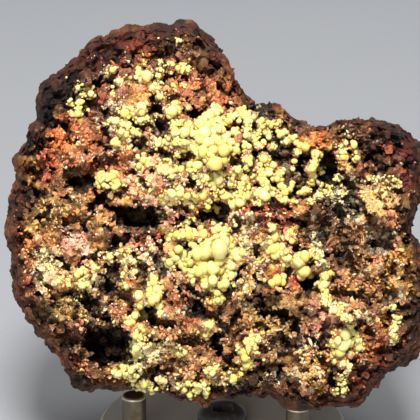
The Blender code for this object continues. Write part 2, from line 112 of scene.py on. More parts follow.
# Balls and crumbs. Lattices are sides around and steps from pole to pole; seats are the least and
# the greatest share of its radius that a ball's middle stands out of the face.
LARGE_BALL, SMALL_BALL, GRAIN, CRUMB = (12, 8), (7, 5), (6, 4), (5, 3)
HIGH_SEAT, LOW_SEAT, CRUMB_SEAT = (0.30, 0.75), (-0.10, 0.45), (-0.25, 0.55)
BIG_BALL_LIFT = 0.035
BALL_ROUGHNESS, CRUMB_ROUGHNESS = 0.13, 0.38
SWARM_DENSITY = 1.7
SATELLITES = 6
LEMON_SHARE = 0.12
CRUMB_EDGES = (-2.0, 108.0, 215.0, 320.0, 428.0)
CRUMB_PIECES = ("crumbs_left", "crumbs_near_left", "crumbs_near_right", "crumbs_right")
RIND_CELLS, RIND_CRUMBS = 160, 4200
RIND_CLEARANCE = 0.004

# What each step adds to the seed, so that no two draw alike
OUTLYING_DRAW, WIDE_DRAW, EDGE_DRAW, SHAPE_DRAW = 20, 30, 31, 50
GRAIN_DRAW, SATELLITE_DRAW, CRUMB_DRAW, RIND_DRAW = 90, 150, 200, 210

# The stand
PEG_SIDES = 64
PEG_CHAMFER = 0.0004
PEG_HIGHLIGHT_BAND = 0.0006
FOOT_EDGE = 0.0003
SCREW_SIDES = 96
SCREW_HEAD = 0.0030
SCREW_DOME = 0.0016
SCREW_EDGE = 0.0002
SHANK_RADIUS = 0.003
SOCKET_RADIUS = 0.0020
SOCKET_DEPTH = 0.0018
SOCKET_EDGE = 0.00025

# The stage
FLOOR_REACH = 3.0
AIM = (0.0, 0.0, 0.045)
WORLD_COLOUR, WORLD_STRENGTH = (0.9, 0.95, 1.0, 1.0), 0.18
# Lamps: name, place, width, share of the key light's power
LAMPS = [
    ("key", (0.0, -0.42, 0.62), 0.16, 1.0), ("fill", (-0.20, -0.70, 0.16), 0.40, 0.18),
    ("top", (0.05, 0.25, 0.80), 0.50, 0.35),
]

# The stone's outline on the grid, clockwise from its top
OUTLINE = [
    (180, 18.5), (194, 21), (204, 32), (217, 42), (226, 53), (235, 73), (245, 94), (256, 105), (275, 104),
    (291, 117), (304, 122), (312, 127), (330, 124), (350, 119), (370, 120), (389, 124), (402, 129),
    (420, 141), (424, 160), (424, 190), (416, 208), (410.5, 222), (414, 233), (423, 248), (428, 280),
    (427, 335), (419, 355), (404, 365), (384, 374), (378, 386), (364, 400), (343, 407), (320, 411),
    (311, 406), (288, 405), (272, 393), (258, 397), (244, 394), (231, 398), (219, 396), (207, 403),
    (188, 401), (176, 398), (155, 391), (113, 389), (96, 389), (88, 393), (73, 387), (66, 372), (58, 356),
    (44, 342), (28, 321), (19, 308), (12, 286), (14, 256), (4, 236), (2, 222), (5, 206), (12, 190),
    (14, 172), (14, 156), (25, 140), (26, 126), (37, 117), (36, 101), (40, 84), (57, 69), (78, 55),
    (86, 41), (106, 35.5), (130, 29), (160, 20), (169, 24),
]

# Broad swells of the face: x, y, spread across, spread up, height in mm
SWELLS = [
    (225, 150, 75, 45, 3.5), (60, 212, 38, 26, 3.5), (42, 272, 26, 34, 1.5), (150, 188, 44, 16, 3.0),
    (205, 265, 38, 32, 2.5), (252, 228, 20, 24, 3.0), (385, 200, 30, 36, 2.5), (340, 335, 34, 44, 3.0),
    (120, 374, 46, 16, 3.0), (182, 312, 20, 18, 2.0), (300, 385, 44, 18, 1.5), (110, 130, 60, 36, 1.5),
    (120, 45, 60, 16, -2.5), (60, 330, 34, 30, -1.5), (405, 335, 18, 36, -3.0), (330, 235, 26, 40, -1.5),
]

# Hollows of the face: x, y, half width, half height, turn in degrees clockwise, depth in mm
HOLLOWS = [
    (84, 183, 15, 10, 0, 7.0), (97, 199, 9, 8, 30, 7.0), (132, 214, 27, 11, 22, 10.0),
    (122, 238, 11, 6, 0, 5.0), (112, 345, 27, 18, -8, 12.0), (145, 315, 10, 9, 0, 6.0),
    (210, 214, 14, 12, 0, 6.0), (182, 224, 12, 4, 0, 5.0), (187, 246, 12, 4, 0, 4.0),
    (157, 110, 9, 7, 0, 5.0), (195, 112, 10, 8, 0, 5.0), (159, 130, 8, 8, 0, 4.5),
    (182, 157, 8, 6, 0, 4.5), (165, 156, 5, 6, 0, 3.5), (305, 172, 4, 14, 0, 6.0),
    (296, 192, 8, 8, 0, 6.0), (328, 168, 10, 24, 0, 8.0), (350, 154, 4, 8, 0, 5.0),
    (374, 157, 10, 4, -15, 3.5), (365, 182, 7, 4, 0, 3.5), (358, 214, 6, 6, 0, 3.0),
    (302, 223, 8, 4, 0, 4.0), (300, 247, 12, 4, 0, 5.0), (312, 282, 9, 13, 0, 7.0),
    (274, 312, 20, 5, 16, 7.0), (260, 299, 11, 3, 20, 5.0), (295, 325, 6, 9, 0, 6.0),
    (202, 309, 8, 8, 0, 5.0), (217, 345, 5, 11, 15, 4.5), (239, 318, 6, 5, 0, 3.5),
    (183, 290, 4, 5, 0, 3.5), (328, 378, 7, 11, 0, 4.5), (357, 326, 5, 4, 0, 3.5),
    (171, 383, 6, 6, 0, 3.5), (36, 150, 5, 12, 0, 4.0), (14, 208, 7, 13, 0, 4.0),
    (36, 198, 10, 6, 0, 4.0), (91, 298, 5, 8, 0, 3.5), (112, 278, 8, 18, 0, 4.5),
    (374, 244, 4, 6, 0, 3.0), (406, 242, 6, 8, 0, 3.0), (46, 118, 8, 22, 14, 3.5),
    (66, 88, 20, 7, -38, 3.5), (150, 372, 7, 5, 0, 3.0), (262, 372, 9, 6, 0, 3.0),
    (282, 372, 6, 7, 0, 3.0), (60, 320, 6, 4, 30, 2.5), (96, 330, 10, 5, 0, 3.0),
    (120, 66, 8, 4, -10, 3.0), (92, 62, 7, 4, -20, 3.0), (105, 190, 5, 6, 0, 3.0),
    (345, 228, 5, 6, 0, 2.5), (332, 256, 5, 5, 0, 2.5), (338, 282, 5, 6, 0, 2.5),
    (320, 352, 7, 5, 0, 3.0), (366, 300, 5, 6, 0, 2.5), (230, 362, 6, 5, 0, 3.0),
    (243, 127, 4, 4, 0, 3.5), (264, 140, 6, 4, 20, 4.0), (273, 157, 5, 6, 0, 4.0), (286, 150, 5, 3, 0, 3.0),
    (231, 136, 3, 4, 0, 3.0), (242, 149, 4, 4, 0, 3.5), (254, 158, 5, 4, 0, 4.0), (257, 168, 4, 4, 0, 3.0),
    (293, 163, 5, 6, 0, 4.5), (275, 188, 5, 5, 0, 4.0), (251, 187, 5, 4, 0, 4.0), (232, 189, 5, 4, 0, 4.0),
    (225, 171, 4, 3, 0, 3.0), (193, 143, 3, 4, 0, 3.0), (242, 272, 4, 12, 0, 4.5), (196, 293, 5, 5, 0, 3.5),
    (166, 146, 4, 6, 0, 3.5), (140, 146, 6, 5, 0, 3.0), (104, 110, 6, 5, 0, 3.0), (64, 122, 7, 8, 0, 2.5),
    (262, 330, 7, 5, 0, 3.0), (246, 332, 5, 4, 0, 3.0), (290, 340, 6, 5, 0, 3.0), (304, 366, 6, 6, 0, 3.0),
    (402, 196, 5, 5, 0, 3.0), (388, 150, 6, 5, 0, 3.0), (404, 142, 6, 4, 0, 3.0), (352, 138, 5, 4, 0, 2.5),
    (88, 302, 7, 13, -25, 4.5), (68, 292, 7, 5, 0, 3.5), (104, 316, 8, 6, 0, 4.5), (60, 256, 5, 4, 0, 3.0),
]

# Colours on the 0 to 255 scale of a screen, most as they look in even light; painted shade are the blacks of
# hollows and pores, the amber on the crystals' sides, the floor's near grey and DARK where the tints lay it,
# and the pegs' pale edge steel is a painted highlight
DARK, BROWN, UMBER, MAROON = (50, 27, 17), (144, 98, 60), (98, 62, 38), (104, 42, 28)
RED, ORANGE, OCHRE, RUST = (154, 62, 42), (204, 114, 54), (194, 144, 68), (158, 86, 48)
TAN, PEACH, CREAM, SALMON = (208, 168, 106), (226, 184, 128), (244, 228, 184), (206, 140, 110)
PINK, OLIVE, STONE_GREY, LEMON = (220, 172, 148), (164, 132, 76), (104, 94, 84), (236, 220, 130)
PORE_SHADE_BLACK, HOLLOW_SHADE_BLACK = (20, 13, 10), (10, 7, 6)
IVORY, SAND, STRAW, BUTTER = (250, 237, 206), (228, 202, 150), (233, 211, 104), (247, 235, 158)
HONEY, SIDE_SHADE_AMBER, WAX_GRIT = (222, 188, 84), (142, 104, 14), (178, 142, 52)
GRAIN_CREAM, GRAIN_STRAW, GRAIN_STAIN = (240, 226, 178), (222, 202, 126), (196, 160, 112)
PLATE_DIM, PLATE_PALE = (216, 212, 196), (228, 224, 208)
SCREW_BLACK, SCREW_WORN = (94, 94, 92), (136, 136, 134)
STEEL_DIM, STEEL_PALE, STEEL_STAIN, STEEL_HIGHLIGHT = (92, 84, 70), (136, 126, 108), (80, 62, 48), (226, 218, 200)
FLOOR_NEAR, FLOOR_FAR, FLOOR_CLOUD = (156, 157, 159), (178, 180, 184), (176, 176, 178)

# Tints of the face: x, y, half width, half height, turn in degrees clockwise, colour. The DARK tints, on the
# rim where it turns from the light and over deep recesses, are painted shade.
TINTS = [
    (70, 85, 52, 26, -40, DARK), (118, 44, 66, 16, -14, MAROON), (90, 52, 50, 10, -28, DARK),
    (124, 50, 30, 4, -8, RED), (180, 24, 26, 9, 20, DARK), (40, 120, 12, 42, 14, DARK),
    (180, 50, 34, 26, 30, UMBER), (188, 78, 22, 12, 20, RUST), (222, 92, 22, 15, 42, RUST),
    (216, 48, 9, 34, -28, MAROON), (258, 104, 26, 6, 20, DARK), (316, 124, 24, 5, 0, DARK),
    (420, 230, 8, 30, 0, DARK), (420, 300, 10, 60, 0, DARK), (95, 150, 44, 40, 0, RUST),
    (110, 120, 34, 26, 0, UMBER), (92, 76, 50, 34, -24, MAROON), (66, 98, 28, 22, -40, DARK),
    (28, 172, 14, 22, 0, OCHRE), (50, 170, 10, 24, 0, RED), (62, 138, 13, 17, 0, ORANGE),
    (20, 205, 16, 22, 0, MAROON), (58, 213, 32, 21, 0, OLIVE), (42, 224, 13, 6, 0, OCHRE),
    (68, 218, 9, 14, 0, ORANGE), (22, 246, 15, 14, 0, ORANGE), (42, 268, 24, 24, 0, PEACH),
    (74, 243, 15, 12, 0, PINK), (150, 252, 15, 9, 0, PINK), (142, 182, 26, 9, 0, SALMON),
    (166, 208, 34, 11, 0, SALMON), (148, 238, 21, 10, 0, RED), (228, 172, 9, 12, 0, SALMON),
    (270, 215, 32, 9, 0, RED), (250, 232, 14, 18, 0, SALMON), (288, 278, 7, 13, 0, RED),
    (392, 160, 36, 36, 0, MAROON), (374, 138, 30, 16, 0, DARK), (398, 150, 16, 6, 20, RED),
    (412, 176, 8, 16, 0, RED), (390, 168, 12, 6, -20, DARK), (345, 131, 42, 10, 0, UMBER),
    (316, 139, 14, 8, 0, ORANGE), (382, 204, 22, 18, 0, TAN), (384, 182, 17, 7, 0, PEACH),
    (330, 245, 22, 48, 0, UMBER), (338, 196, 30, 22, 0, DARK), (250, 310, 30, 16, 0, UMBER),
    (375, 248, 14, 14, 0, STONE_GREY), (404, 268, 20, 28, 0, OCHRE),
    (414, 335, 17, 40, 0, DARK), (372, 372, 28, 32, -20, RUST), (310, 378, 11, 9, 0, OCHRE),
    (36, 304, 18, 44, -30, BROWN), (30, 280, 9, 22, -14, RUST), (86, 306, 24, 18, 0, UMBER),
    (75, 358, 9, 10, 0, RED), (92, 386, 44, 9, 0, DARK),
    (181, 312, 19, 19, 0, RUST), (268, 320, 26, 18, 0, OLIVE), (304, 306, 50, 7, 13, BROWN),
    (326, 308, 20, 5, 13, SALMON), (64, 304, 34, 14, 0, OLIVE),
    (230, 340, 44, 30, 0, BROWN), (330, 320, 16, 18, 0, SALMON), (388, 338, 12, 38, 0, RUST),
    (252, 388, 42, 10, 0, DARK), (160, 345, 26, 26, 0, BROWN), (350, 290, 30, 34, 0, BROWN),
]

# Mottling of the brown ground: colour, size in grid steps, noise where it starts and is full, most, seed
MOTTLES = [
    (UMBER, 16.0, 0.0, 0.5, 0.8, 201), (RUST, 13.0, 0.1, 0.5, 0.7, 203), (DARK, 9.0, 0.2, 0.6, 0.7, 205),
    (TAN, 8.0, 0.3, 0.6, 0.6, 207), (SALMON, 11.0, 0.35, 0.6, 0.6, 209), (OCHRE, 10.0, 0.4, 0.6, 0.6, 211),
]

# Where pale grains dust the face: x, y, half width, half height, turn, share of grains that are pale
DUSTS = [
    (150, 150, 70, 60, 0, 0.30), (125, 125, 34, 30, 0, 0.38), (128, 72, 50, 14, -8, 0.28),
    (240, 160, 70, 52, 0, 0.42), (205, 262, 48, 40, 0, 0.50), (190, 270, 42, 12, 0, 0.70),
    (110, 255, 52, 30, 0, 0.42), (45, 264, 24, 28, 0, 0.55), (250, 234, 18, 24, 0, 0.60),
    (240, 276, 24, 20, 0, 0.62), (317, 240, 8, 30, 0, 0.80), (345, 205, 42, 32, 0, 0.36),
    (370, 252, 34, 42, 0, 0.30), (393, 318, 8, 40, 0, 0.66), (340, 308, 34, 22, 20, 0.55),
    (200, 300, 40, 20, 0, 0.42), (236, 322, 60, 20, 0, 0.22), (146, 350, 22, 30, 0, 0.56),
    (200, 384, 56, 13, 0, 0.46), (300, 352, 62, 40, 0, 0.28), (80, 276, 32, 16, 0, 0.46),
    (86, 312, 46, 26, 0, 0.22), (140, 226, 20, 8, 0, 0.36), (75, 155, 22, 30, 0, 0.26),
    (175, 205, 34, 14, 0, 0.50), (384, 182, 16, 8, 0, 0.60), (96, 188, 12, 30, 0, 0.30),
    (325, 284, 8, 22, 0, 0.80), (152, 296, 14, 34, 0, 0.60),
]

# Where bare rock shows, with few crumbs on it: x, y, half width, half height, turn, share left out
BARE_PLACES = [
    (392, 160, 42, 38, 0, 0.90), (304, 306, 52, 10, 13, 0.95), (350, 225, 26, 40, 0, 0.55),
    (60, 92, 50, 30, -40, 0.80), (130, 42, 70, 16, -10, 0.85), (215, 62, 16, 44, -28, 0.80),
    (24, 190, 18, 50, 0, 0.70), (36, 330, 30, 44, -30, 0.80), (400, 330, 22, 60, 0, 0.85),
    (384, 204, 24, 18, 0, 0.70), (370, 384, 40, 24, -20, 0.80), (265, 215, 32, 10, 0, 0.50),
    (181, 312, 18, 18, 0, 0.60), (140, 226, 22, 9, 0, 0.60),
]

# Where the matrix is fibrous, with long crumbs: x, y, half width, half height, turn, amount
FIBROUS_PLACES = [
    (300, 310, 84, 80, 0, 1.0), (360, 220, 50, 60, 0, 0.8), (190, 350, 60, 40, 0, 0.5),
]

# Balls of mimetite, listed one by one: x, y, radius, for each crust
CROWN_BALLS = [
    (181, 122, 3), (174, 124, 3.5), (187, 126, 4), (185, 132, 5), (175, 131, 4.5), (178, 137, 4),
    (184, 142, 4), (158, 144, 4), (164, 143, 4), (169, 138, 3), (215, 112, 5), (209, 117, 4),
    (200, 124, 5), (208, 126, 5), (218, 121, 5), (205, 132, 6), (213, 131, 5), (219, 129, 4),
    (200, 140, 5), (208, 143, 6), (218, 140, 4), (226, 137, 4), (234, 132, 3.5), (230, 142, 3.5),
    (203, 151, 6), (213, 150, 5), (224, 150, 6), (236, 150, 4), (215, 163, 8), (224, 160, 4),
    (190, 165, 4.5), (197, 165, 5.5), (181, 169, 4), (206, 178, 4), (218, 179, 6), (213, 184, 4),
    (240, 112, 5), (233, 117, 3.5), (239, 121, 3), (246, 117, 4), (253, 116, 4), (247, 122, 3.5),
    (247, 129, 3.5), (260, 122, 3), (262, 127, 3), (271, 124, 2.5), (279, 122, 3), (248, 135, 3.5),
    (254, 140, 3.5), (259, 146, 3), (269, 133, 2.5), (282, 133, 4), (286, 142, 3.5), (293, 138, 3),
    (300, 145, 4), (305, 147, 4), (272, 147, 3), (297, 153, 3), (317, 154, 4), (315, 161, 4),
    (319, 168, 4), (312, 168, 4), (313, 176, 4), (311, 183, 3.5), (307, 190, 3.5), (303, 191, 3),
    (273, 165, 4), (280, 172, 3), (277, 179, 3.5), (281, 186, 3.5), (285, 193, 3.5), (289, 192, 3),
    (285, 200, 3), (264, 159, 5), (250, 159, 2.5), (246, 168, 3), (238, 170, 3.5), (231, 171, 3),
    (264, 174, 4), (269, 173, 4), (262, 181, 4), (267, 188, 4), (264, 196, 6), (244, 178, 3.5),
    (242, 184, 3.5), (241, 192, 3.5), (248, 196, 4), (240, 203, 5), (233, 205, 4), (224, 196, 4),
    (172, 111, 6.5), (178, 104, 2), (188, 108, 2.5), (194, 148, 4), (192, 134, 3), (228, 122, 3),
]
LEFT_ARM_BALLS = [
    (143, 160, 5), (139, 166, 4), (147, 163, 3.5), (100, 176, 4), (106, 176, 4), (113, 176, 4.5),
    (117, 182, 4), (115, 187, 3.5), (99, 183, 3.5), (104, 185, 3), (165, 168, 4.5), (160, 170, 3),
    (171, 172, 4), (170, 163, 3), (173, 158, 3), (177, 155, 2.5), (184, 150, 2.5), (172, 193, 5),
    (180, 192, 5), (187, 196, 4), (167, 197, 3.5), (192, 207, 2.5), (176, 197, 4), (165, 202, 3),
    (203, 195, 4.5), (208, 200, 3), (208, 207, 3.5), (217, 208, 3), (195, 196, 2), (215, 196, 3),
]
CENTRE_BALLS = [
    (170, 234, 4), (177, 234, 4), (183, 235, 4.5), (189, 235, 5), (194, 235, 3), (203, 234, 5),
    (179, 223, 2.5), (187, 223, 4), (192, 222, 2), (182, 256, 7.5), (176, 258, 4), (197, 253, 6.5),
    (206, 251, 8), (219, 249, 10), (224, 242, 6.5), (216, 237, 4), (231, 246, 4), (238, 256, 6),
    (240, 262, 4), (231, 266, 4.5), (205, 268, 8), (213, 268, 7), (220, 270, 5), (199, 272, 5),
    (213, 280, 6), (225, 283, 6), (231, 275, 4.5), (205, 285, 4), (217, 293, 4), (218, 300, 3.5),
    (218, 228, 5), (225, 230, 4), (170, 262, 4), (190, 262, 4),
]
RIGHT_HOLLOW_BALLS = [
    (273, 227, 4), (275, 236, 5), (274, 248, 7), (278, 253, 5), (287, 258, 5), (291, 262, 4),
    (299, 262, 6), (304, 271, 6), (300, 272, 4), (305, 256, 6), (277, 280, 6), (273, 285, 3.5),
    (291, 231, 3), (270, 242, 4),
]
LEFT_BAND_BALLS = [
    (139, 295, 5), (152, 300, 5), (147, 300, 3), (139, 318, 6), (129, 323, 4.5), (117, 323, 3),
    (141, 327, 4), (140, 306, 4), (153, 283, 4), (157, 290, 5), (157, 298, 4.5), (159, 306, 4),
    (160, 313, 3.5), (150, 290, 3.5), (154, 277, 3),
]
LOWER_RIGHT_BALLS = [
    (330, 273, 3), (325, 277, 4), (318, 283, 3), (324, 284, 4.5), (326, 292, 4), (326, 297, 3),
    (325, 303, 3), (335, 311, 3.5), (345, 318, 4), (350, 326, 4), (345, 335, 7), (342, 345, 7),
    (349, 343, 5), (340, 352, 5), (343, 363, 4), (357, 340, 4), (358, 348, 4), (336, 358, 4),
    (328, 370, 2.5), (322, 374, 2.5), (352, 332, 4), (334, 344, 4),
]
FOOT_BALLS = [
    (136, 336, 4.5), (136, 342, 5), (136, 349, 4.5), (130, 356, 5), (127, 363, 5), (124, 370, 4.5),
    (118, 374, 4), (131, 371, 4), (133, 379, 4), (144, 384, 5), (162, 380, 4), (180, 385, 3),
    (190, 395, 3.5), (188, 383, 3.5), (204, 384, 4), (212, 372, 5), (216, 368, 3), (234, 378, 4),
    (241, 374, 3), (178, 353, 3), (185, 352, 3), (197, 391, 3.5), (206, 392, 3.5), (152, 388, 4),
]
OUTLYING_BALLS = [
    (78, 88, 2.5), (84, 88, 3), (83, 94, 3.5), (91, 94, 4), (71, 104, 3), (80, 102, 3.5), (78, 107, 2.5),
    (72, 113, 3), (78, 114, 3.5), (95, 77, 2), (112, 70, 3), (107, 75, 2), (119, 82, 3), (112, 94, 2.5),
    (139, 73, 4), (147, 76, 5.5), (143, 63, 2.5), (155, 84, 2.5), (152, 88, 3), (158, 89, 2.5),
    (160, 97, 3.5), (160, 62, 2), (161, 70, 2.5), (159, 76, 2.5), (171, 63, 2.5), (178, 68, 3.5),
    (183, 68, 4), (184, 64, 2.5), (178, 40, 2.5), (158, 40, 1.5), (173, 85, 2.5), (183, 85, 2.5),
    (141, 107, 5.5), (125, 113, 4.5), (131, 108, 2.5), (134, 113, 3), (115, 121, 4), (123, 124, 3),
    (128, 126, 3), (140, 120, 3.5), (147, 118, 3), (121, 132, 3), (126, 134, 3.5), (134, 132, 3.5),
    (137, 133, 3), (117, 143, 4), (124, 142, 3), (129, 148, 2.5), (343, 157, 4), (342, 152, 3),
    (346, 143, 2.5), (354, 145, 4), (354, 151, 3), (357, 158, 3), (341, 147, 2), (348, 166, 2),
    (337, 178, 3), (326, 187, 4), (318, 195, 3), (330, 188, 3), (310, 200, 3), (80, 272, 4),
    (77, 275, 3.5), (94, 267, 4), (58, 281, 3), (76, 286, 3.5), (82, 285, 4.5), (87, 284, 3),
    (68, 285, 2.5), (110, 257, 3), (117, 254, 2), (126, 286, 3), (123, 274, 2.5), (134, 271, 2.5),
    (125, 261, 2.5), (134, 262, 2.5), (340, 378, 4), (344, 390, 3), (335, 392, 3), (247, 365, 4),
    (245, 358, 4), (243, 352, 3.5), (248, 348, 3.5), (252, 343, 3.5), (247, 341, 2.5), (258, 340, 3),
    (238, 348, 2.5), (262, 333, 2), (251, 336, 2.5), (210, 325, 4), (205, 334, 4), (393, 308, 3),
    (397, 318, 3.5), (396, 328, 3), (395, 338, 3),
]

# Swarms of small balls: x, y, half width, half height, turn, how many, least and greatest radius
CROWN_SWARMS = [
    (212, 140, 22, 32, 0, 190, 1.6, 3.8), (250, 130, 30, 20, 15, 170, 1.6, 3.4),
    (280, 145, 30, 18, 20, 160, 1.6, 3.2), (175, 132, 20, 14, 0, 60, 1.6, 3.2),
    (240, 160, 34, 20, 0, 180, 1.6, 3.4), (250, 190, 26, 16, 0, 130, 1.6, 3.4),
    (290, 178, 20, 26, 0, 120, 1.6, 3.2), (314, 170, 8, 26, 8, 70, 1.6, 3.2),
    (206, 176, 18, 14, 0, 50, 1.4, 2.6),
]
LEFT_ARM_SWARMS = [
    (108, 181, 16, 9, 0, 45, 1.4, 2.6), (158, 166, 24, 9, 0, 50, 1.2, 2.4),
    (180, 197, 26, 9, 0, 80, 1.4, 3.0), (142, 184, 22, 9, 0, 40, 1.0, 2.0),
    (212, 200, 14, 12, 0, 30, 1.2, 2.4),
]
CENTRE_SWARMS = [
    (190, 240, 28, 12, 0, 80, 1.4, 3.0), (208, 264, 32, 26, 0, 190, 1.8, 4.0),
    (216, 292, 16, 14, 0, 50, 1.4, 2.8), (178, 264, 18, 8, 0, 50, 1.2, 2.4),
]
RIGHT_HOLLOW_SWARMS = [
    (280, 244, 14, 20, 0, 50, 1.4, 2.8), (296, 264, 18, 12, 0, 40, 1.4, 2.8),
    (272, 278, 10, 12, 0, 30, 1.4, 2.6), (262, 262, 8, 20, 0, 30, 1.2, 2.2),
]
LEFT_BAND_SWARMS = [
    (155, 296, 9, 28, 0, 80, 1.4, 3.0), (132, 318, 20, 9, 0, 40, 1.2, 2.6),
    (140, 300, 12, 9, 0, 30, 1.4, 2.8),
]
LOWER_RIGHT_SWARMS = [
    (345, 344, 20, 22, 0, 120, 1.4, 3.2), (325, 285, 8, 18, 0, 45, 1.4, 3.0),
    (338, 312, 16, 9, 40, 60, 1.2, 2.6), (326, 362, 16, 12, 0, 40, 1.2, 2.4),
]
FOOT_SWARMS = [
    (130, 360, 16, 22, 0, 100, 1.4, 3.0), (150, 384, 26, 9, 0, 60, 1.4, 2.8),
    (200, 386, 34, 9, 0, 90, 1.4, 3.0), (222, 374, 24, 8, 0, 50, 1.2, 2.6),
    (140, 342, 8, 14, 0, 30, 1.4, 2.8),
]
OUTLYING_SWARMS = [
    (82, 98, 14, 20, 20, 40, 1.0, 2.4), (135, 78, 36, 14, -5, 70, 1.0, 2.2),
    (175, 70, 20, 16, 0, 45, 1.0, 2.2), (128, 122, 24, 20, 0, 90, 1.0, 2.4),
    (124, 146, 18, 12, 0, 45, 1.0, 2.2), (350, 150, 14, 16, 0, 40, 1.0, 2.0),
    (338, 190, 26, 12, -10, 60, 1.0, 2.2), (384, 182, 20, 8, 0, 40, 1.0, 2.0),
    (80, 278, 28, 12, 0, 70, 1.0, 2.4), (92, 312, 44, 22, 0, 50, 0.9, 2.0),
    (112, 255, 40, 16, 0, 80, 0.9, 2.2), (248, 352, 16, 18, 0, 70, 1.2, 2.6),
    (300, 358, 40, 26, 0, 50, 0.9, 2.0), (394, 322, 5, 28, 0, 45, 1.4, 2.8),
    (340, 386, 12, 12, 0, 40, 1.2, 2.4), (208, 328, 10, 14, 0, 30, 1.2, 2.4),
    (240, 280, 24, 16, 0, 60, 1.0, 2.0), (316, 240, 7, 26, 0, 60, 1.0, 2.0),
    (364, 256, 34, 40, 0, 40, 0.8, 1.6), (160, 345, 26, 18, 0, 60, 1.0, 2.2),
    (100, 330, 10, 8, 0, 20, 1.0, 2.0), (225, 310, 40, 14, 0, 24, 0.9, 1.8),
]
WIDE_SWARMS = [
    (130, 105, 80, 60, 0, 260, 0.7, 1.5), (120, 250, 90, 70, 0, 260, 0.7, 1.5),
    (250, 170, 90, 60, 0, 260, 0.7, 1.5), (300, 300, 100, 80, 0, 200, 0.6, 1.3),
    (190, 340, 90, 50, 0, 160, 0.6, 1.3), (360, 220, 50, 70, 0, 90, 0.6, 1.3),
]

# Cream crust along the edges of ridges, as swarms
EDGE_SWARMS = [
    (243, 238, 6, 38, -22, 190, 1.0, 2.4), (252, 214, 20, 5, 0, 100, 1.0, 2.2),
    (322, 268, 6, 34, -8, 170, 1.0, 2.6), (338, 308, 20, 5, 38, 150, 1.0, 2.4),
    (393, 322, 4, 24, 0, 110, 1.0, 2.4), (52, 266, 18, 22, 0, 130, 0.8, 2.0),
    (188, 270, 34, 7, -6, 110, 1.0, 2.4), (146, 362, 16, 22, 0, 150, 1.0, 2.3),
    (160, 352, 22, 10, -20, 90, 1.0, 2.4), (148, 246, 20, 5, -10, 60, 0.9, 2.0),
    (170, 202, 30, 5, 8, 80, 0.9, 2.0), (345, 205, 30, 6, -14, 70, 0.8, 1.8),
    (384, 182, 20, 6, 6, 50, 0.8, 1.8), (152, 300, 10, 34, 0, 110, 0.9, 2.2),
    (346, 366, 6, 26, 10, 70, 0.9, 2.2), (232, 292, 26, 8, 30, 70, 0.9, 2.0),
    (120, 262, 30, 10, 20, 90, 0.8, 1.8), (180, 384, 50, 8, 0, 120, 0.9, 2.2),
    (300, 352, 40, 22, 0, 110, 0.7, 1.6),
]

# Ledges that jut out with a sharp lower edge: ends x0, y0, x1, y1, width of the slope above, height in mm
LEDGES = [
    (256, 300, 352, 322, 12, 3.0), (222, 258, 240, 212, 9, 1.4), (236, 212, 306, 217, 10, 1.8),
    (134, 184, 176, 188, 9, 1.0), (98, 240, 166, 231, 8, 1.6), (58, 96, 128, 60, 12, 2.0),
    (46, 76, 150, 36, 10, 1.8), (150, 34, 214, 62, 10, 1.6), (120, 352, 172, 340, 10, 1.4),
    (310, 216, 352, 206, 8, 1.6), (30, 200, 92, 206, 10, 1.4), (36, 300, 92, 340, 10, 1.4),
    (212, 372, 262, 352, 8, 1.2), (270, 398, 350, 372, 12, 1.6), (364, 212, 408, 226, 9, 1.4),
    (300, 132, 386, 126, 9, 1.4), (366, 170, 420, 160, 8, 1.6), (156, 300, 196, 296, 8, 1.2),
    (222, 302, 268, 288, 8, 1.4), (346, 250, 372, 280, 8, 1.4), (100, 158, 156, 150, 8, 1.0),
    (40, 140, 78, 118, 9, 1.6), (20, 172, 56, 150, 8, 1.2), (22, 268, 60, 290, 8, 1.0),
]

# Where the face is most open: x, y, half width, half height, turn, what it adds to the pits
OPEN_PLACES = [
    (262, 142, 56, 34, 20, 0.36), (285, 180, 34, 30, 0, 0.32), (205, 142, 30, 38, 0, 0.12),
    (285, 358, 70, 34, 0, 0.14), (340, 235, 46, 60, 0, 0.14), (95, 312, 50, 36, 0, 0.14),
    (130, 140, 46, 40, 0, 0.06), (170, 250, 50, 24, 0, 0.05),
    (96, 240, 40, 30, 0, 0.08), (60, 100, 44, 40, 0, 0.10), (380, 150, 40, 30, 0, 0.14),
]

CRUSTS = {
    "mimetite_crown": ("crown_crystals", CROWN_BALLS, CROWN_SWARMS),
    "mimetite_left_arm": ("left_arm_crystals", LEFT_ARM_BALLS, LEFT_ARM_SWARMS),
    "mimetite_centre": ("centre_crystals", CENTRE_BALLS, CENTRE_SWARMS),
    "mimetite_right_hollow": ("right_hollow_crystals", RIGHT_HOLLOW_BALLS, RIGHT_HOLLOW_SWARMS),
    "mimetite_left_band": ("left_band_crystals", LEFT_BAND_BALLS, LEFT_BAND_SWARMS),
    "mimetite_lower_right": ("lower_right_crystals", LOWER_RIGHT_BALLS, LOWER_RIGHT_SWARMS),
    "mimetite_foot": ("foot_crystals", FOOT_BALLS, FOOT_SWARMS),
}
PLACED_BALLS = sum((balls for _, balls, _ in CRUSTS.values()), OUTLYING_BALLS)


def smooth(low, high, value):
    """0 at low, 1 at high, and a smooth step between."""
    t = np.clip((value - low) / (high - low), 0.0, 1.0)
    return t * t * (3.0 - 2.0 * t)


def lattice_value(cell, seed):
    """A fixed value from -1 to 1 for each whole-numbered place."""
    key = cell.astype(np.int64) @ np.array([73856093, 19349663, 83492791], dtype=np.int64)
    key = (key + seed * 2654435761) & 0x7FFFFFFF
    key = (key ^ (key >> 13)) * 1274126177 & 0x7FFFFFFF
    key = (key ^ (key >> 16)) * 668265263 & 0x7FFFFFFF
    return (key ^ (key >> 15)) / float(0x7FFFFFFF) * 2.0 - 1.0


def noise(points, size, seed):
    """Smooth noise from -1 to 1: lattice values blended over the cube around each point."""
    scaled = np.asarray(points) / size
    cell = np.floor(scaled).astype(np.int64)
    part = scaled - cell
    part = part * part * (3.0 - 2.0 * part)
    total = np.zeros(scaled.shape[:-1])
    for corner in np.ndindex(2, 2, 2):
        weight = np.prod(np.where(corner, part, 1.0 - part), axis=-1)
        total = total + weight * lattice_value(cell + np.array(corner), seed)
    return total


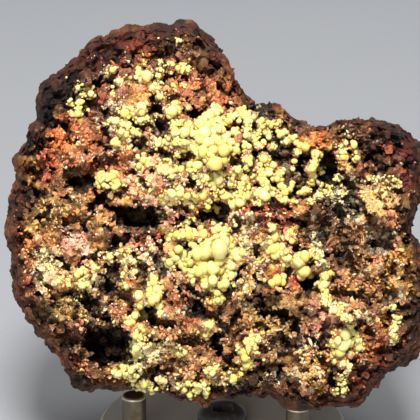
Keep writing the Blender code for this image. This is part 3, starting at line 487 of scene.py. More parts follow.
def shards(points, size, seed):
    """Broken rock from -1 to 1: round each of many stray points lies a flat of its own level and tilt."""
    scaled = np.asarray(points) / size
    cell = np.floor(scaled).astype(np.int64)
    nearest = np.full(scaled.shape[:-1], 9.0)
    owner, lean = cell, np.zeros_like(scaled)
    for offset in np.ndindex(3, 3, 3):
        near = cell + np.array(offset) - 1
        stray = np.stack([lattice_value(near, seed + k) for k in range(3)], axis=-1) * 0.5 + 0.5
        away = scaled - near - stray
        distance = np.sum(away**2, axis=-1)
        closer = distance < nearest
        nearest = np.where(closer, distance, nearest)
        owner = np.where(closer[..., None], near, owner)
        lean = np.where(closer[..., None], away, lean)
    tilt = np.stack([lattice_value(owner, seed + k) for k in range(3, 6)], axis=-1)
    return 0.45 * lattice_value(owner, seed + 6) + 0.75 * np.sum(tilt * lean, axis=-1)


def place(x, y, out):
    """The point in space at grid place (x, y), this far out: the grid shrinks towards the eye."""
    scale = STEP * (1.0 - out / EYE_DISTANCE)
    across = ((x - GRID_MIDDLE) * scale)[..., None] * FACE_RIGHT
    up = ((GRID_MIDDLE - y) * scale)[..., None] * FACE_UP
    return FACE_MIDDLE + across + up + out[..., None] * FACE_OUT


def from_centre(x, y):
    """The angle and the distance of grid places from the stone's centre."""
    dx, dy = x - STONE_CENTRE[0], STONE_CENTRE[1] - y
    return np.arctan2(dy, dx), np.hypot(dx, dy)


def around_centre(angle, away):
    """The grid places at an angle and a distance from the stone's centre."""
    return STONE_CENTRE[0] + away * np.cos(angle), STONE_CENTRE[1] - away * np.sin(angle)


def outline_radius(angle):
    """The outline's distance from the stone's centre, in grid steps, at each angle."""
    angles, radii = from_centre(*np.array(OUTLINE, dtype=float).T)
    order = np.argsort(angles)
    exact = np.interp(angle, angles[order], radii[order], period=2 * math.pi)
    turned = np.stack([np.cos(angle), np.sin(angle), np.zeros_like(angle)], axis=-1)
    craggy = 2.6 * noise(turned, 0.070, 21) + 1.9 * noise(turned, 0.030, 22)
    return exact + craggy + 0.7 * noise(turned, 0.013, 25) - 0.8


def even_radius(angle):
    """The outline's distance averaged over a wide angle."""
    turns = np.linspace(-EVENING_ANGLE, EVENING_ANGLE, 9)
    return sum(outline_radius(angle + turn) for turn in turns) / len(turns)


def reach(exact, even, radius):
    """Grid steps from the centre at a share of the way: rings even out towards the middle."""
    return radius * (even + (exact - even) * radius**3)


def share_of_way(x, y):
    """The share of the way from the centre to the outline at each grid place, by halving."""
    angle, away = from_centre(x, y)
    exact, even = outline_radius(angle), even_radius(angle)
    low, high = np.zeros_like(away), np.ones_like(away)
    for _ in range(20):
        middle = (low + high) / 2
        short = reach(exact, even, middle) < away
        low, high = np.where(short, middle, low), np.where(short, high, middle)
    return (low + high) / 2


def arc(fraction, depth, roundness):
    """Radius and depth (0 to 1) at each fraction of the way from the middle to the rim.

    The section is r**n + d**n = 1, walked at an even pace over its real length."""
    turn = np.linspace(0.0, math.pi / 2, 400)
    radius = np.sin(turn) ** (2.0 / roundness)
    height = np.cos(turn) ** (2.0 / roundness)
    pace = np.hypot(np.diff(radius) * HALF_WIDTH, np.diff(height) * depth)
    walked = np.concatenate([[0.0], np.cumsum(pace)])
    walked = walked / walked[-1]
    return np.interp(fraction, walked, radius), np.interp(fraction, walked, height)


def square_to_disc(a, b):
    """Map the square from -1 to 1 onto the unit disc: rings of squares become circles."""
    wide = np.abs(a) > np.abs(b)
    radius = np.where(wide, a, b)
    main = np.where(radius == 0.0, 1.0, radius)
    lean = np.where(wide, b, a) / main
    angle = np.where(wide, math.pi / 4 * lean, math.pi / 2 - math.pi / 4 * lean)
    return np.abs(radius), np.where(radius < 0.0, angle + math.pi, angle)


def grid_points(x, y):
    """Grid places as points of a flat sheet, for noise."""
    return np.stack([x, y, np.zeros_like(x)], axis=-1)


def fold(points, size, seed):
    """Noise folded about zero, from 0 to 1: sharp crests between broad dips."""
    return 1.0 - np.minimum(2.2 * np.abs(noise(points, size, seed)), 1.0)


def within(x, y, ellipse):
    """How far each grid place is from an ellipse's middle: 1 on its edge."""
    cx, cy, wide, high, turn = ellipse
    c, s = math.cos(math.radians(turn)), math.sin(math.radians(turn))
    along = ((x - cx) * c + (y - cy) * s) / wide
    beside = ((y - cy) * c - (x - cx) * s) / high
    return np.hypot(along, beside)


def strongest(x, y, places, inner, outer):
    """The greatest value that a list of soft-edged ellipses gives at each grid place."""
    best = np.zeros_like(x)
    for *ellipse, value in places:
        best = np.maximum(best, value * (1.0 - smooth(inner, outer, within(x, y, ellipse))))
    return best


def shifted(x, y, amount, size, seed):
    """Grid places moved about by noise of two sizes, so that shapes drawn on them get ragged."""
    flat = grid_points(x, y)
    dx, dy = (
        amount * noise(flat, size, first) + 0.45 * amount * noise(flat, 0.4 * size, first + 1)
        for first in (seed, seed + 2)
    )
    return x + dx, y + dy


def sunk_depth(x, y):
    """Depth in metres of the hollows: flat floors, steep and ragged walls, the deepest wins."""
    return 0.001 * strongest(*shifted(x, y, 7.0, 13.0, 61), HOLLOWS, 0.70, 1.12)


def ball_guard(x, y):
    """1 where a listed ball sits, 0 away from all of them."""
    near = np.zeros_like(x)
    for cx, cy, size in PLACED_BALLS:
        near = np.maximum(near, 1.7 - ((x - cx) ** 2 + (y - cy) ** 2) / (size + 1.2) ** 2)
    return np.minimum(near, 1.0)


def off_strings(x, y):
    """0 along winding lines, where balls grow in strings, and up to 1 between them."""
    return np.minimum(2.2 * np.abs(noise(grid_points(x, y), 13.0, 27)), 1.0)


def pits(x, y):
    """How far the crumbly face is pitted at each grid place, from 0 to 1, in noise of two sizes."""
    flat = grid_points(x, y)
    field = noise(flat, 9.5, 14) + 0.6 * noise(flat, 4.8, 15)
    field = field + strongest(x, y, OPEN_PLACES, 0.7, 1.2) * (0.5 + 1.3 * off_strings(x, y))
    return smooth(0.16, 0.40, field) * (1.0 - ball_guard(x, y))


def ledges(x, y):
    """Height of the ledges in metres: a soft slope above each line and a sharp drop below it."""
    rise = np.zeros_like(x)
    for x0, y0, x1, y1, wide, high in LEDGES:
        length = math.hypot(x1 - x0, y1 - y0)
        along = ((x - x0) * (x1 - x0) + (y - y0) * (y1 - y0)) / length
        below = ((y - y0) * (x1 - x0) - (x - x0) * (y1 - y0)) / length * math.copysign(1.0, x1 - x0)
        beyond = np.maximum(np.maximum(-along, along - length), 0.0)
        side = np.where(below < 0.0, np.exp(-((below / wide) ** 2)), 1.0 - smooth(0.0, 0.28 * wide, below))
        rise = np.maximum(rise, 0.001 * high * side * np.exp(-((beyond / 7.0) ** 2)))
    return rise


def rugged(x, y):
    """Ridges and lumps of the face in metres: folded noise of falling size."""
    flat = grid_points(*shifted(x, y, 6.0, 24.0, 64))
    relief = 0.0022 * (fold(flat, 38.0, 16) - 0.5) + 0.0013 * (fold(flat, 17.0, 17) - 0.5)
    relief = relief + 0.0008 * (fold(flat, 8.0, 18) - 0.5) + 0.0006 * noise(flat, 5.0, 19)
    return relief


def strata(x, y):
    """Thin layers and long flakes in metres that run along the outline, as on a split rind."""
    angle, away = from_centre(x, y)
    share = away / outline_radius(angle)
    turned = np.stack([np.cos(angle) * 7.0, np.sin(angle) * 7.0, share * 60.0], axis=-1)
    layers = 0.0012 * (fold(turned, 1.0, 23) - 0.4) + 0.0007 * (fold(turned * 2.1, 1.0, 24) - 0.4)
    return layers + 0.0011 * shards(turned * (0.9, 0.9, 0.5), 1.0, 111)


def face_out(x, y, radius=None):
    """How far out the stone's front stands at each grid place, before its fine grain.

    A dome r**n + d**n = 1, with swells and ridges added, hollows and pits taken away inside the
    rim, and strata along it."""
    if radius is None:
        radius = share_of_way(x, y)
    dome = (1.0 - radius**FRONT_ROUNDNESS) ** (1.0 / FRONT_ROUNDNESS)
    flat = grid_points(x, y)
    relief = 0.0012 * noise(flat, 46.0, 3) + 0.0006 * noise(flat, 20.0, 4)
    for cx, cy, wide, high, rise in SWELLS:
        relief = relief + 0.001 * rise * np.exp(-(((x - cx) / wide) ** 2) - ((y - cy) / high) ** 2)
    relief = relief + rugged(x, y) + LEDGE_SCALE * ledges(*shifted(x, y, 5.0, 18.0, 72))
    relief = relief - sunk_depth(x, y) - PIT_DEPTH * pits(x, y)
    inside = 1.0 - smooth(0.88, 1.0, radius)
    band = smooth(0.70, 0.86, radius) * (1.0 - smooth(0.985, 1.0, radius))
    return RIM_OUT + FRONT_DEPTH * dome + inside * relief + band * strata(x, y)


def fine_relief(points, dusty):
    """Crumbly relief in metres: lumps and folds, broken flats of two sizes, then pores."""
    lumps = 0.00040 * noise(points, 0.0034, 11) + 0.00070 * (fold(points, 0.0021, 12) - 0.5)
    coarse = 0.00055 * shards(points, 0.0015, 31)
    small = 0.00034 * shards(points, 0.0008, 41) * (0.7 + 0.6 * dusty)
    pores = -0.0013 * smooth(0.36, 0.70, noise(points, 0.0019, 13))
    return lumps + coarse + small + pores


def rest_on_posts(points):
    """Keep the underside just above the posts' tops: rough, and flat where a post touches it."""
    rough = UNDERSIDE_ROUGHNESS * (0.55 + 0.45 * noise(points, 0.006, 9))
    off = np.full(points.shape[:-1], 1.0)
    for name in POSTS:
        low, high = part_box(name)
        middle = (np.array(low[:2]) + np.array(high[:2])) / 2
        away = np.linalg.norm(points[..., :2] - middle, axis=-1)
        off = np.minimum(off, smooth(CONTACT_RADIUS, CONTACT_RADIUS + CONTACT_BLEND, away))
    height = points[..., 2]
    under = np.maximum(height, REST_HEIGHT + rough * off)
    near = smooth(REST_HEIGHT + 0.007, REST_HEIGHT + 0.003, height)
    under = under + (1.0 - off) * near * (REST_HEIGHT - under)
    result = points.copy()
    result[..., 2] = under
    return result


def share_of_dust(x, y):
    """How many of the grains are pale at each grid place, from 0 to 1, and more in patches."""
    flat = grid_points(x, y)
    patches = 0.18 + 1.5 * smooth(-0.08, 0.42, noise(flat, 13.0, 41) + 0.6 * noise(flat, 5.0, 42))
    dust = np.maximum(strongest(*shifted(x, y, 8.0, 14.0, 68), DUSTS, 0.6, 1.25), 0.06)
    return np.minimum(dust * patches, 0.95)


def linear(colour):
    """A screen colour from 0 to 255 as linear light from 0 to 1."""
    value = np.asarray(colour, dtype=float) / 255.0
    return np.where(value <= 0.04045, value / 12.92, ((value + 0.055) / 1.055) ** 2.4)


def blend(one, two, share):
    """A colour moved towards another by a share from 0 to 1 at each point."""
    return one + (two - one) * share[..., None]


def face_tint(x, y):
    """The matrix's colour at each grid place: brown, with ragged tints laid over it in turn, the DARK ones
    painted shade.
    """
    flat = grid_points(x, y)
    tint = np.broadcast_to(linear(BROWN), (*x.shape, 3))
    for colour, size, low, high, most, seed in MOTTLES:
        field = noise(flat, size, seed) + 0.6 * noise(flat, 0.4 * size, seed + 1)
        tint = blend(tint, linear(colour), most * smooth(low, high, field))
    drawn_x, drawn_y = shifted(x, y, 9.0, 15.0, 52)
    for *ellipse, colour in TINTS:
        outside = smooth(0.60, 1.25, within(drawn_x, drawn_y, ellipse))
        tint = blend(tint, linear(colour), 0.75 * (1.0 - outside))
    return tint


def lattice_normals(points):
    """Unit normals of a lattice of points, from the steps to each point's neighbours."""
    across = np.cross(np.gradient(points, axis=0), np.gradient(points, axis=1))
    return across / np.maximum(np.linalg.norm(across, axis=-1, keepdims=True), 1e-12)


def crags(points):
    """Fractured rock in metres: broken flats of two sizes and folded crests, all in space."""
    broken = 0.00095 * shards(points, 0.0058, 91) + 0.00045 * shards(points, 0.0024, 101)
    return broken + 0.00045 * (fold(points * (1.0, 1.0, 2.2), 0.0040, 92) - 0.5)


def front_lattice(ring, angle, exact, even):
    """Points, tint, dust and shade of the skin's front.

    The dome's points are moved along their normals by the fine relief, and near the rim by crags.
    Hollows, pits and low spots get painted shade, crests get painted light with a tan wash, and the rim gets
    painted shade."""
    radius, _ = arc(ring, FRONT_DEPTH, FRONT_ROUNDNESS)
    x, y = around_centre(angle, reach(exact, even, radius))
    inside = 1.0 - smooth(0.90, 0.995, radius)
    dust = share_of_dust(x, y) * (1.0 - smooth(0.86, 0.97, radius)) + 0.02
    points = place(x, y, face_out(x, y, radius))
    fine = fine_relief(points, dust)
    rough = RIM_CRAGS * crags(points) * smooth(0.80, 0.93, radius)
    points = points + lattice_normals(points) * (fine * (0.3 + 0.7 * inside) + rough)[..., None]

    # Painted shade: darker in hollows, pits and the low spots of the fine relief.
    deep = smooth(0.0008, 0.0045, sunk_depth(x, y))
    shade = np.clip(0.9 * deep + 0.55 * pits(x, y) + 0.4 * smooth(0.0001, -0.0009, fine), 0.0, 1.0)
    # Painted light: crests of the fine relief brightened and washed with tan.
    crest = smooth(0.0001, 0.0009, fine)
    tint = face_tint(x, y) * (1.0 + 0.8 * crest)[..., None]
    tint = blend(tint, linear(TAN), 0.25 * crest * inside)
    tint = blend(tint, back_tint(points), 0.55 * smooth(0.90, 0.99, radius))
    # Painted shade: the rim darkened all round, where it turns from the light.
    tint = tint * (1.0 - np.array(RIM_SHADE) * smooth(0.84, 0.96, radius)[..., None])
    return rest_on_posts(points), tint, dust, shade


def back_lattice(ring, angle, exact, even):
    """Points, tint, dust and shade of the skin's back.

    The back's dome is worn away towards a spine inside the stone, and crags stand out from it."""
    radius, height = arc(ring, BACK_DEPTH, BACK_ROUNDNESS)
    shrunk = exact + (np.minimum(exact, even) - exact) * smooth(0.995, 0.92, radius)
    x, y = around_centre(angle, reach(shrunk, even, radius))
    thin = 1.0 - TOP_THINNING * smooth(260.0, 30.0, y)
    points = place(x, y, RIM_OUT - BACK_DEPTH * height * thin)
    inward = place(*(np.full_like(x, value) for value in (*STONE_CENTRE, SPINE_OUT))) - points
    inward = inward / np.linalg.norm(inward, axis=-1, keepdims=True)
    worn = 0.0034 * (1.0 + noise(points, 0.016, 7)) + 0.0014 * (1.0 + noise(points, 0.007, 8))
    worn = worn * smooth(1.0, 0.86, ring)
    fine = fine_relief(points, np.full_like(x, 0.1)) + BACK_CRAGS * crags(points)
    points = points + inward * (worn - fine * smooth(1.0, 0.97, ring))[..., None]

    # Painted shade in the low spots of the back's relief.
    shade = 0.5 * smooth(0.0002, -0.0009, fine)
    dust = 0.10 * smooth(0.2, 0.8, noise(points, 0.012, 61))
    points = rest_on_posts(points)
    return points, back_tint(points), dust, shade


def rings_and_outline(cells):
    """For a square lattice on the disc: each point's ring, angle, and outline, exact and evened."""
    side = np.linspace(-1.0, 1.0, cells + 1)
    ring, angle = square_to_disc(*np.meshgrid(side, side, indexing="ij"))
    return ring, angle, outline_radius(angle), even_radius(angle)


def back_tint(points):
    """The colour of the outer rind: brown-black with red and ochre stains, by noise in space."""
    stain = noise(points, 0.011, 71) + 0.5 * noise(points, 0.004, 72)
    warm = noise(points, 0.014, 73) + 0.5 * noise(points, 0.005, 74)
    tint = blend(linear(DARK), linear(UMBER), smooth(-0.7, 0.3, stain))
    for colour, cover in (
        (BROWN, smooth(0.2, 0.9, stain)),
        (MAROON, 0.9 * smooth(-0.2, 0.5, warm)),
        (RUST, 0.8 * smooth(-0.3, -0.8, warm)),
        (OCHRE, 0.5 * smooth(0.8, 1.2, stain)),
    ):
        tint = blend(tint, linear(colour), cover)
    return tint


def skin_faces(cells):
    """Loops of a front lattice and of a back lattice twice as coarse, which share the rim.

    Both are numbered i * (cells + 1) + j, the back from (cells + 1) ** 2. A back cell on the rim
    takes the rim's halfway points too."""
    row = cells + 1
    index = np.arange(row * row).reshape(row, row)
    rim = np.zeros((row, row), dtype=bool)
    rim[[0, -1], :] = rim[:, [0, -1]] = True
    behind = np.where(rim, index, index + row * row)
    quads = np.stack([index[:-1, :-1], index[1:, :-1], index[1:, 1:], index[:-1, 1:]], axis=-1)
    loops = quads.reshape(-1, 4).tolist()
    coarse = behind[::2, ::2]
    inner = np.stack([coarse[:-1, :-1], coarse[:-1, 1:], coarse[1:, 1:], coarse[1:, :-1]], axis=-1)
    edge = np.ones(inner.shape[:2], dtype=bool)
    edge[1:-1, 1:-1] = False
    loops += inner[~edge].tolist()
    for i, j in 2 * np.argwhere(edge):
        loop = [(i, j), (i, j + 1), (i, j + 2), (i + 1, j + 2), (i + 2, j + 2), (i + 2, j + 1), (i + 2, j)]
        loop.append((i + 1, j))
        odd = [(p % 2 or q % 2) and not rim[p, q] for p, q in loop]
        loops.append([int(behind[spot]) for spot, drop in zip(loop, odd) if not drop])
    return loops


def used_only(arrays, loops):
    """Drop the points that no loop uses, and renumber the loops."""
    used = np.unique(np.concatenate([np.asarray(loop) for loop in loops]))
    fresh = np.full(len(arrays[0]), -1)
    fresh[used] = np.arange(len(used))
    return [array[used] for array in arrays], [fresh[loop].tolist() for loop in loops]


def eased(points):
    """Points pressed together near the walls of the part's box, so that none passes one.

    Past a margin m before a wall, a way w beyond becomes m * (1 - exp(-w / m))."""
    for wall, side in zip(CAD_BOX, (-1.0, 1.0)):
        start = np.array(wall) - side * WALL_MARGIN
        beyond = np.maximum((points - start) * side, 0.0)
        points = points + side * (WALL_MARGIN * (1.0 - np.exp(-beyond / WALL_MARGIN)) - beyond)
    return points


def add_mesh(name, points, loops, material, attributes=()):
    """A smooth mesh object, riding on the part's one body, with point attributes."""
    mesh = bpy.data.meshes.new(name)
    points = eased(points)
    mesh.from_pydata(points.tolist(), [], loops)
    for key, values in attributes:
        kind, field = ("FLOAT_COLOR", "color") if values.ndim == 2 else ("FLOAT", "value")
        data = mesh.attributes.new(key, kind, "POINT").data
        if values.ndim == 2:
            values = np.concatenate([values, np.ones((len(values), 1))], axis=1)
        data.foreach_set(field, values.astype(np.float32).ravel())
    mesh.materials.append(material)
    mesh.shade_smooth()
    mesh.validate()
    piece = bpy.data.objects.new(name, mesh)
    bpy.context.collection.objects.link(piece)
    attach(piece, "root")
    return piece


def ring_loops(rings, around):
    """Outward quads between closed rings that climb, with points numbered ring * around + k."""
    low = np.arange((rings - 1) * around).reshape(rings - 1, around)
    after = np.roll(low, -1, axis=1)
    return np.stack([low, after, after + around, low + around], axis=-1).reshape(-1, 4)


def ball_lattice(around, up):
    """Unit directions of a ball on rings from pole to pole, with its quads and triangles."""
    polar = np.linspace(math.pi, 0.0, up + 1)[1:-1, None]
    turn = (np.arange(around) * 2 * math.pi / around)[None, :]
    flat = np.sin(polar)
    ring = np.stack([flat * np.cos(turn), flat * np.sin(turn), np.cos(polar) + 0.0 * turn], axis=-1)
    points = np.concatenate([ring.reshape(-1, 3), [[0.0, 0.0, -1.0], [0.0, 0.0, 1.0]]])
    south, north = len(points) - 2, len(points) - 1
    first = np.arange(around)
    last = first + (up - 2) * around
    bottom = np.stack([np.full(around, south), np.roll(first, -1), first], axis=-1)
    top = np.stack([last, np.roll(last, -1), np.full(around, north)], axis=-1)
    return points, ring_loops(up - 1, around), np.concatenate([bottom, top])


def scatter(swarms, seed):
    """Random balls in ellipses, small ones commoner, and few in the pits. Gives x, y, radius."""
    random = np.random.default_rng(seed)
    rows = []
    for cx, cy, wide, high, turn, count, least, greatest in swarms:
        count = int(SWARM_DENSITY * count)
        away = np.sqrt(random.random(count)) * (0.75 + 0.35 * random.random(count))
        angle = random.random(count) * 2 * math.pi
        along, beside = away * np.cos(angle) * wide, away * np.sin(angle) * high
        c, s = math.cos(math.radians(turn)), math.sin(math.radians(turn))
        radius = least + (greatest - least) * random.random(count) ** 1.8
        x, y = cx + along * c - beside * s, cy + along * s + beside * c
        thin = 0.50 * smooth(0.05, -0.25, noise(grid_points(x, y), 10.0, 26))
        thin = thin + 0.45 * smooth(0.35, 0.75, off_strings(x, y))
        bare = 1.6 * pits(x, y) + 1.2 * smooth(0.0012, 0.0028, sunk_depth(x, y))
        kept = random.random(count) > 0.10 + bare + thin
        rows.append(np.stack([x, y, radius], axis=-1)[kept])
    return np.concatenate(rows)


def satellites(balls, seed):
    """Smaller balls that grow on the sides of larger ones."""
    random = np.random.default_rng(seed)
    x, y, radius = np.repeat(np.asarray(balls, dtype=float), SATELLITES, axis=0).T
    turn = random.random(len(x)) * 2 * math.pi
    away = radius * random.uniform(0.75, 1.35, len(x))
    size = np.maximum(radius * random.uniform(0.28, 0.76, len(x)), 1.1)
    return np.stack([x + away * np.cos(turn), y + away * np.sin(turn), size], axis=-1)


def repeated_loops(parts, count, points):
    """The quads and triangles of a shape with so many points, numbered for each of its copies."""
    starts = (np.arange(count) * points)[:, None, None]
    return sum(((part + starts).reshape(-1, part.shape[-1]).tolist() for part in parts), [])


def lumpy(centre, size, unit, random, rough, splinter=None):
    """Points of lumpy balls: centre + size * (1 + noise) * direction, each squashed and turned.

    With splinter amounts, a few are drawn out long: 1 + splinter * draw**2 times as long."""
    count = len(centre)
    spin, _ = np.linalg.qr(random.normal(size=(count, 3, 3)))
    spin = spin * np.sign(np.linalg.det(spin))[:, None, None]
    squash = random.uniform(1.0 - 1.3 * rough, 1.0 + 1.2 * rough, (count, 1, 3))
    if splinter is not None:
        squash[..., 0] *= 1.0 + splinter * random.random((count, 1)) ** 2
        directions = np.einsum("nij,npj->npi", spin, unit * squash)
    else:
        directions = np.einsum("nij,pj->npi", spin, unit) * squash
    points = centre[:, None] + directions * size[:, None, None]
    lump = 1.0 + rough * noise(points, 0.0011, 81) + rough * noise(points, 0.0005, 82)
    return centre[:, None] + directions * size[:, None, None] * lump[..., None], directions


def ball_group(balls, lattice, seat, random, rough=BALL_ROUGHNESS, splinter=None):
    """Lumpy balls on the face, sunk in it by their seat: points, tone, crest and loops."""
    balls = np.asarray(balls, dtype=float)
    unit, *parts = ball_lattice(*lattice)
    x, y, size = balls[:, 0], balls[:, 1], balls[:, 2] * STEP
    proud = random.uniform(*seat, len(balls)) + BIG_BALL_LIFT * balls[:, 2]
    centre = place(x, y, face_out(x, y) + size * proud)
    points, directions = lumpy(centre, size, unit, random, rough, splinter)
    tone = np.repeat(random.random(len(balls)), len(unit))
    # How far each point faces the eye: the crystals' painted shade falls where this is low.
    crest = smooth(-0.2, 0.9, directions @ FACE_OUT).ravel()
    return points.reshape(-1, 3), tone, crest, repeated_loops(parts, len(balls), len(unit))


def joined_balls(name, groups, seed, material):
    """One piece of several groups of balls, each given as (balls, lattice, seat)."""
    random = np.random.default_rng(seed)
    made = [ball_group(*group, random) for group in groups]
    points, tone, crest = (np.concatenate([group[k] for group in made]) for k in range(3))
    loops, start = [], 0
    for group in made:
        loops += [[start + point for point in loop] for loop in group[3]]
        start += len(group[0])
    piece = add_mesh(name, points, loops, material, [("tone", tone), ("crest", crest)])
    return piece


def crumb_places(left, right, spacing, seed):
    """Grid places and sizes of crumbs between two x values: a jittered lattice in the outline."""
    random = np.random.default_rng(seed)
    x, y = np.meshgrid(np.arange(left, right, spacing), np.arange(16.0, 412.0, spacing))
    x = (x + random.uniform(-1.6, 1.6, x.shape)).ravel()
    y = (y + random.uniform(-1.6, 1.6, y.shape)).ravel()
    angle, away = from_centre(x, y)
    share = away / outline_radius(angle)
    kept = random.random(len(x)) > 0.2 + 0.8 * smooth(0.90, 0.98, share) - 0.2 * (share < 0.86)
    kept &= random.random(len(x)) > 0.85 * smooth(0.002, 0.005, sunk_depth(x, y))
    kept &= random.random(len(x)) > strongest(*shifted(x, y, 5.0, 12.0, 76), BARE_PLACES, 0.7, 1.2)
    x, y = x[kept], y[kept]
    return x, y, 0.55 + 1.35 * random.random(len(x)) ** 2.2


def crumb_piece(name, points, loops, tint, material):
    """A piece of flat-sided crumbs of the matrix."""
    piece = add_mesh(name, points, loops, material, [("tint", tint)])
    piece.data.shade_flat()


def crumbs(name, places, seed, material):
    """Angular crumbs of the matrix and pale grains, tinted as the face is where they lie, with painted shade
    in pits and hollows.
    """
    random = np.random.default_rng(seed)
    x, y, size = places
    splinter = 0.8 + 1.6 * strongest(x, y, FIBROUS_PLACES, 0.7, 1.2)[:, None]
    balls = np.stack([x, y, size], axis=-1)
    points, _, _, loops = ball_group(balls, CRUMB, CRUMB_SEAT, random, CRUMB_ROUGHNESS, splinter)
    light = 1.10 + 1.4 * random.random(len(x)) ** 1.4
    tint = face_tint(x, y) * light[:, None]
    pale = (random.random(len(x)) < share_of_dust(x, y))[:, None]
    cream = blend(linear(CREAM), linear(PEACH), 0.6 * random.random(len(x)))
    cream = blend(cream, linear(LEMON), random.random(len(x)) < LEMON_SHARE)
    tint = np.where(pale, cream * (0.7 + 0.3 * random.random((len(x), 1))), tint)
    # Painted shade: crumbs darker in pits and hollows.
    shade = (1.0 - 0.6 * pits(x, y)) * (1.0 - 0.85 * smooth(0.001, 0.004, sunk_depth(x, y)))
    tint = np.repeat(tint * shade[:, None], len(points) // len(x), axis=0)
    crumb_piece(name, points, loops, tint, material)


def rind_crumbs(seed, material):
    """Angular crumbs half sunk in the back, at stray points of the skin, tinted as the rind."""
    random = np.random.default_rng(seed)
    ring, angle, exact, even = rings_and_outline(RIND_CELLS)
    spots = back_lattice(ring, angle, exact, even)[0][ring < 0.92]
    spots = spots[random.random(len(spots)) < RIND_CRUMBS / len(spots)]
    spots = spots[spots[:, 2] > REST_HEIGHT + RIND_CLEARANCE]
    size = STEP * (0.9 + 1.9 * random.random(len(spots)) ** 2.5)
    unit, *parts = ball_lattice(*CRUMB)
    points, _ = lumpy(spots, size, unit, random, CRUMB_ROUGHNESS)
    light = (0.6 + 1.3 * random.random(len(spots)) ** 1.4)[:, None]
    tint = np.repeat(back_tint(spots) * light, len(unit), axis=0)
    loops = repeated_loops(parts, len(spots), len(unit))
    crumb_piece("crumbs_rind", points.reshape(-1, 3), loops, tint, material)


class Value:
    """A shader socket that adds Math nodes when it is used in a sum."""

    def __init__(self, shade, socket):
        self.shade = shade
        self.socket = socket

    def __add__(self, other):
        return self.shade.math("ADD", self, other)

    def __sub__(self, other):
        return self.shade.math("SUBTRACT", self, other)

    def __rsub__(self, other):
        return self.shade.math("SUBTRACT", other, self)

    def __mul__(self, other):
        return self.shade.math("MULTIPLY", self, other)

    __radd__ = __add__
    __rmul__ = __mul__


class Shade:
    """A node material under construction, with its object coordinates as its spot."""

    def __init__(self, name):
        self.material = bpy.data.materials.new(name)
        self.material.use_nodes = True
        self.tree = self.material.node_tree
        self.tree.nodes.clear()
        self.spot = self.node("ShaderNodeTexCoord", output="Object")

    def node(self, kind, settings=None, inputs=None, output=0):
        """Add a node of a type, with its settings first and then its inputs, and give an output."""
        made = self.tree.nodes.new(kind)
        for key, value in (settings or {}).items():
            setattr(made, key, value)
        for key, value in (inputs or {}).items():
            if isinstance(value, Value):
                self.tree.links.new(value.socket, made.inputs[key])
            else:
                made.inputs[key].default_value = value
        return Value(self, made.outputs[output])

    def math(self, operation, *values):
        """A Math node on its values."""
        return self.node("ShaderNodeMath", {"operation": operation}, dict(enumerate(values)))

    def step(self, value, low, high):
        """0 at low, 1 at high, smooth between."""
        inputs = {"Value": value, "From Min": low, "From Max": high}
        return self.node("ShaderNodeMapRange", {"interpolation_type": "SMOOTHSTEP"}, inputs)

    def mix(self, share, one, two):
        """One colour, or the other where the share is 1: each a link, a list of linear light, or a
        screen colour in a tuple."""
        one, two = (rgba(colour) if isinstance(colour, tuple) else colour for colour in (one, two))
        return self.node("ShaderNodeMix", {"data_type": "RGBA"}, {0: share, 6: one, 7: two}, 2)

    def scaled(self, colour, factor):
        """A colour times a number."""
        return self.node("ShaderNodeVectorMath", {"operation": "SCALE"}, {0: colour, "Scale": factor})

    def noise(self, place, size, detail=3.0, roughness=0.55, output="Fac", swirl=0.0):
        """Noise with lumps of a size in metres, drawn out into threads by the swirl."""
        inputs = {"Vector": place, "Scale": 1.0 / size, "Detail": detail, "Roughness": roughness,
                  "Distortion": swirl}
        return self.node("ShaderNodeTexNoise", None, inputs, output)

    def cells(self, place, size, output):
        """Voronoi cells of a size in metres."""
        return self.node("ShaderNodeTexVoronoi", None, {"Vector": place, "Scale": 1.0 / size}, output)

    def attribute(self, name, output="Fac"):
        """A point attribute of the mesh."""
        return self.node("ShaderNodeAttribute", {"attribute_name": name}, None, output)

    def finish(self, colour, roughness, bumps, **constants):
        """The Principled surface, with bumps as (height, strength, distance) from coarse to fine."""
        normal = None
        for height, strength, distance in bumps:
            inputs = {"Height": height, "Strength": strength, "Distance": distance}
            if normal is not None:
                inputs["Normal"] = normal
            normal = self.node("ShaderNodeBump", None, inputs)
        inputs = {"Base Color": colour, "Roughness": roughness}
        if normal is not None:
            inputs["Normal"] = normal
        for key, value in constants.items():
            inputs[key.replace("_", " ")] = value
        surface = self.node("ShaderNodeBsdfPrincipled", None, inputs)
        output = self.tree.nodes.new("ShaderNodeOutputMaterial")
        self.tree.links.new(surface.socket, output.inputs["Surface"])
        return self.material


def rgba(colour):
    """A screen colour as a shader's linear colour."""
    return (*linear(colour), 1.0)


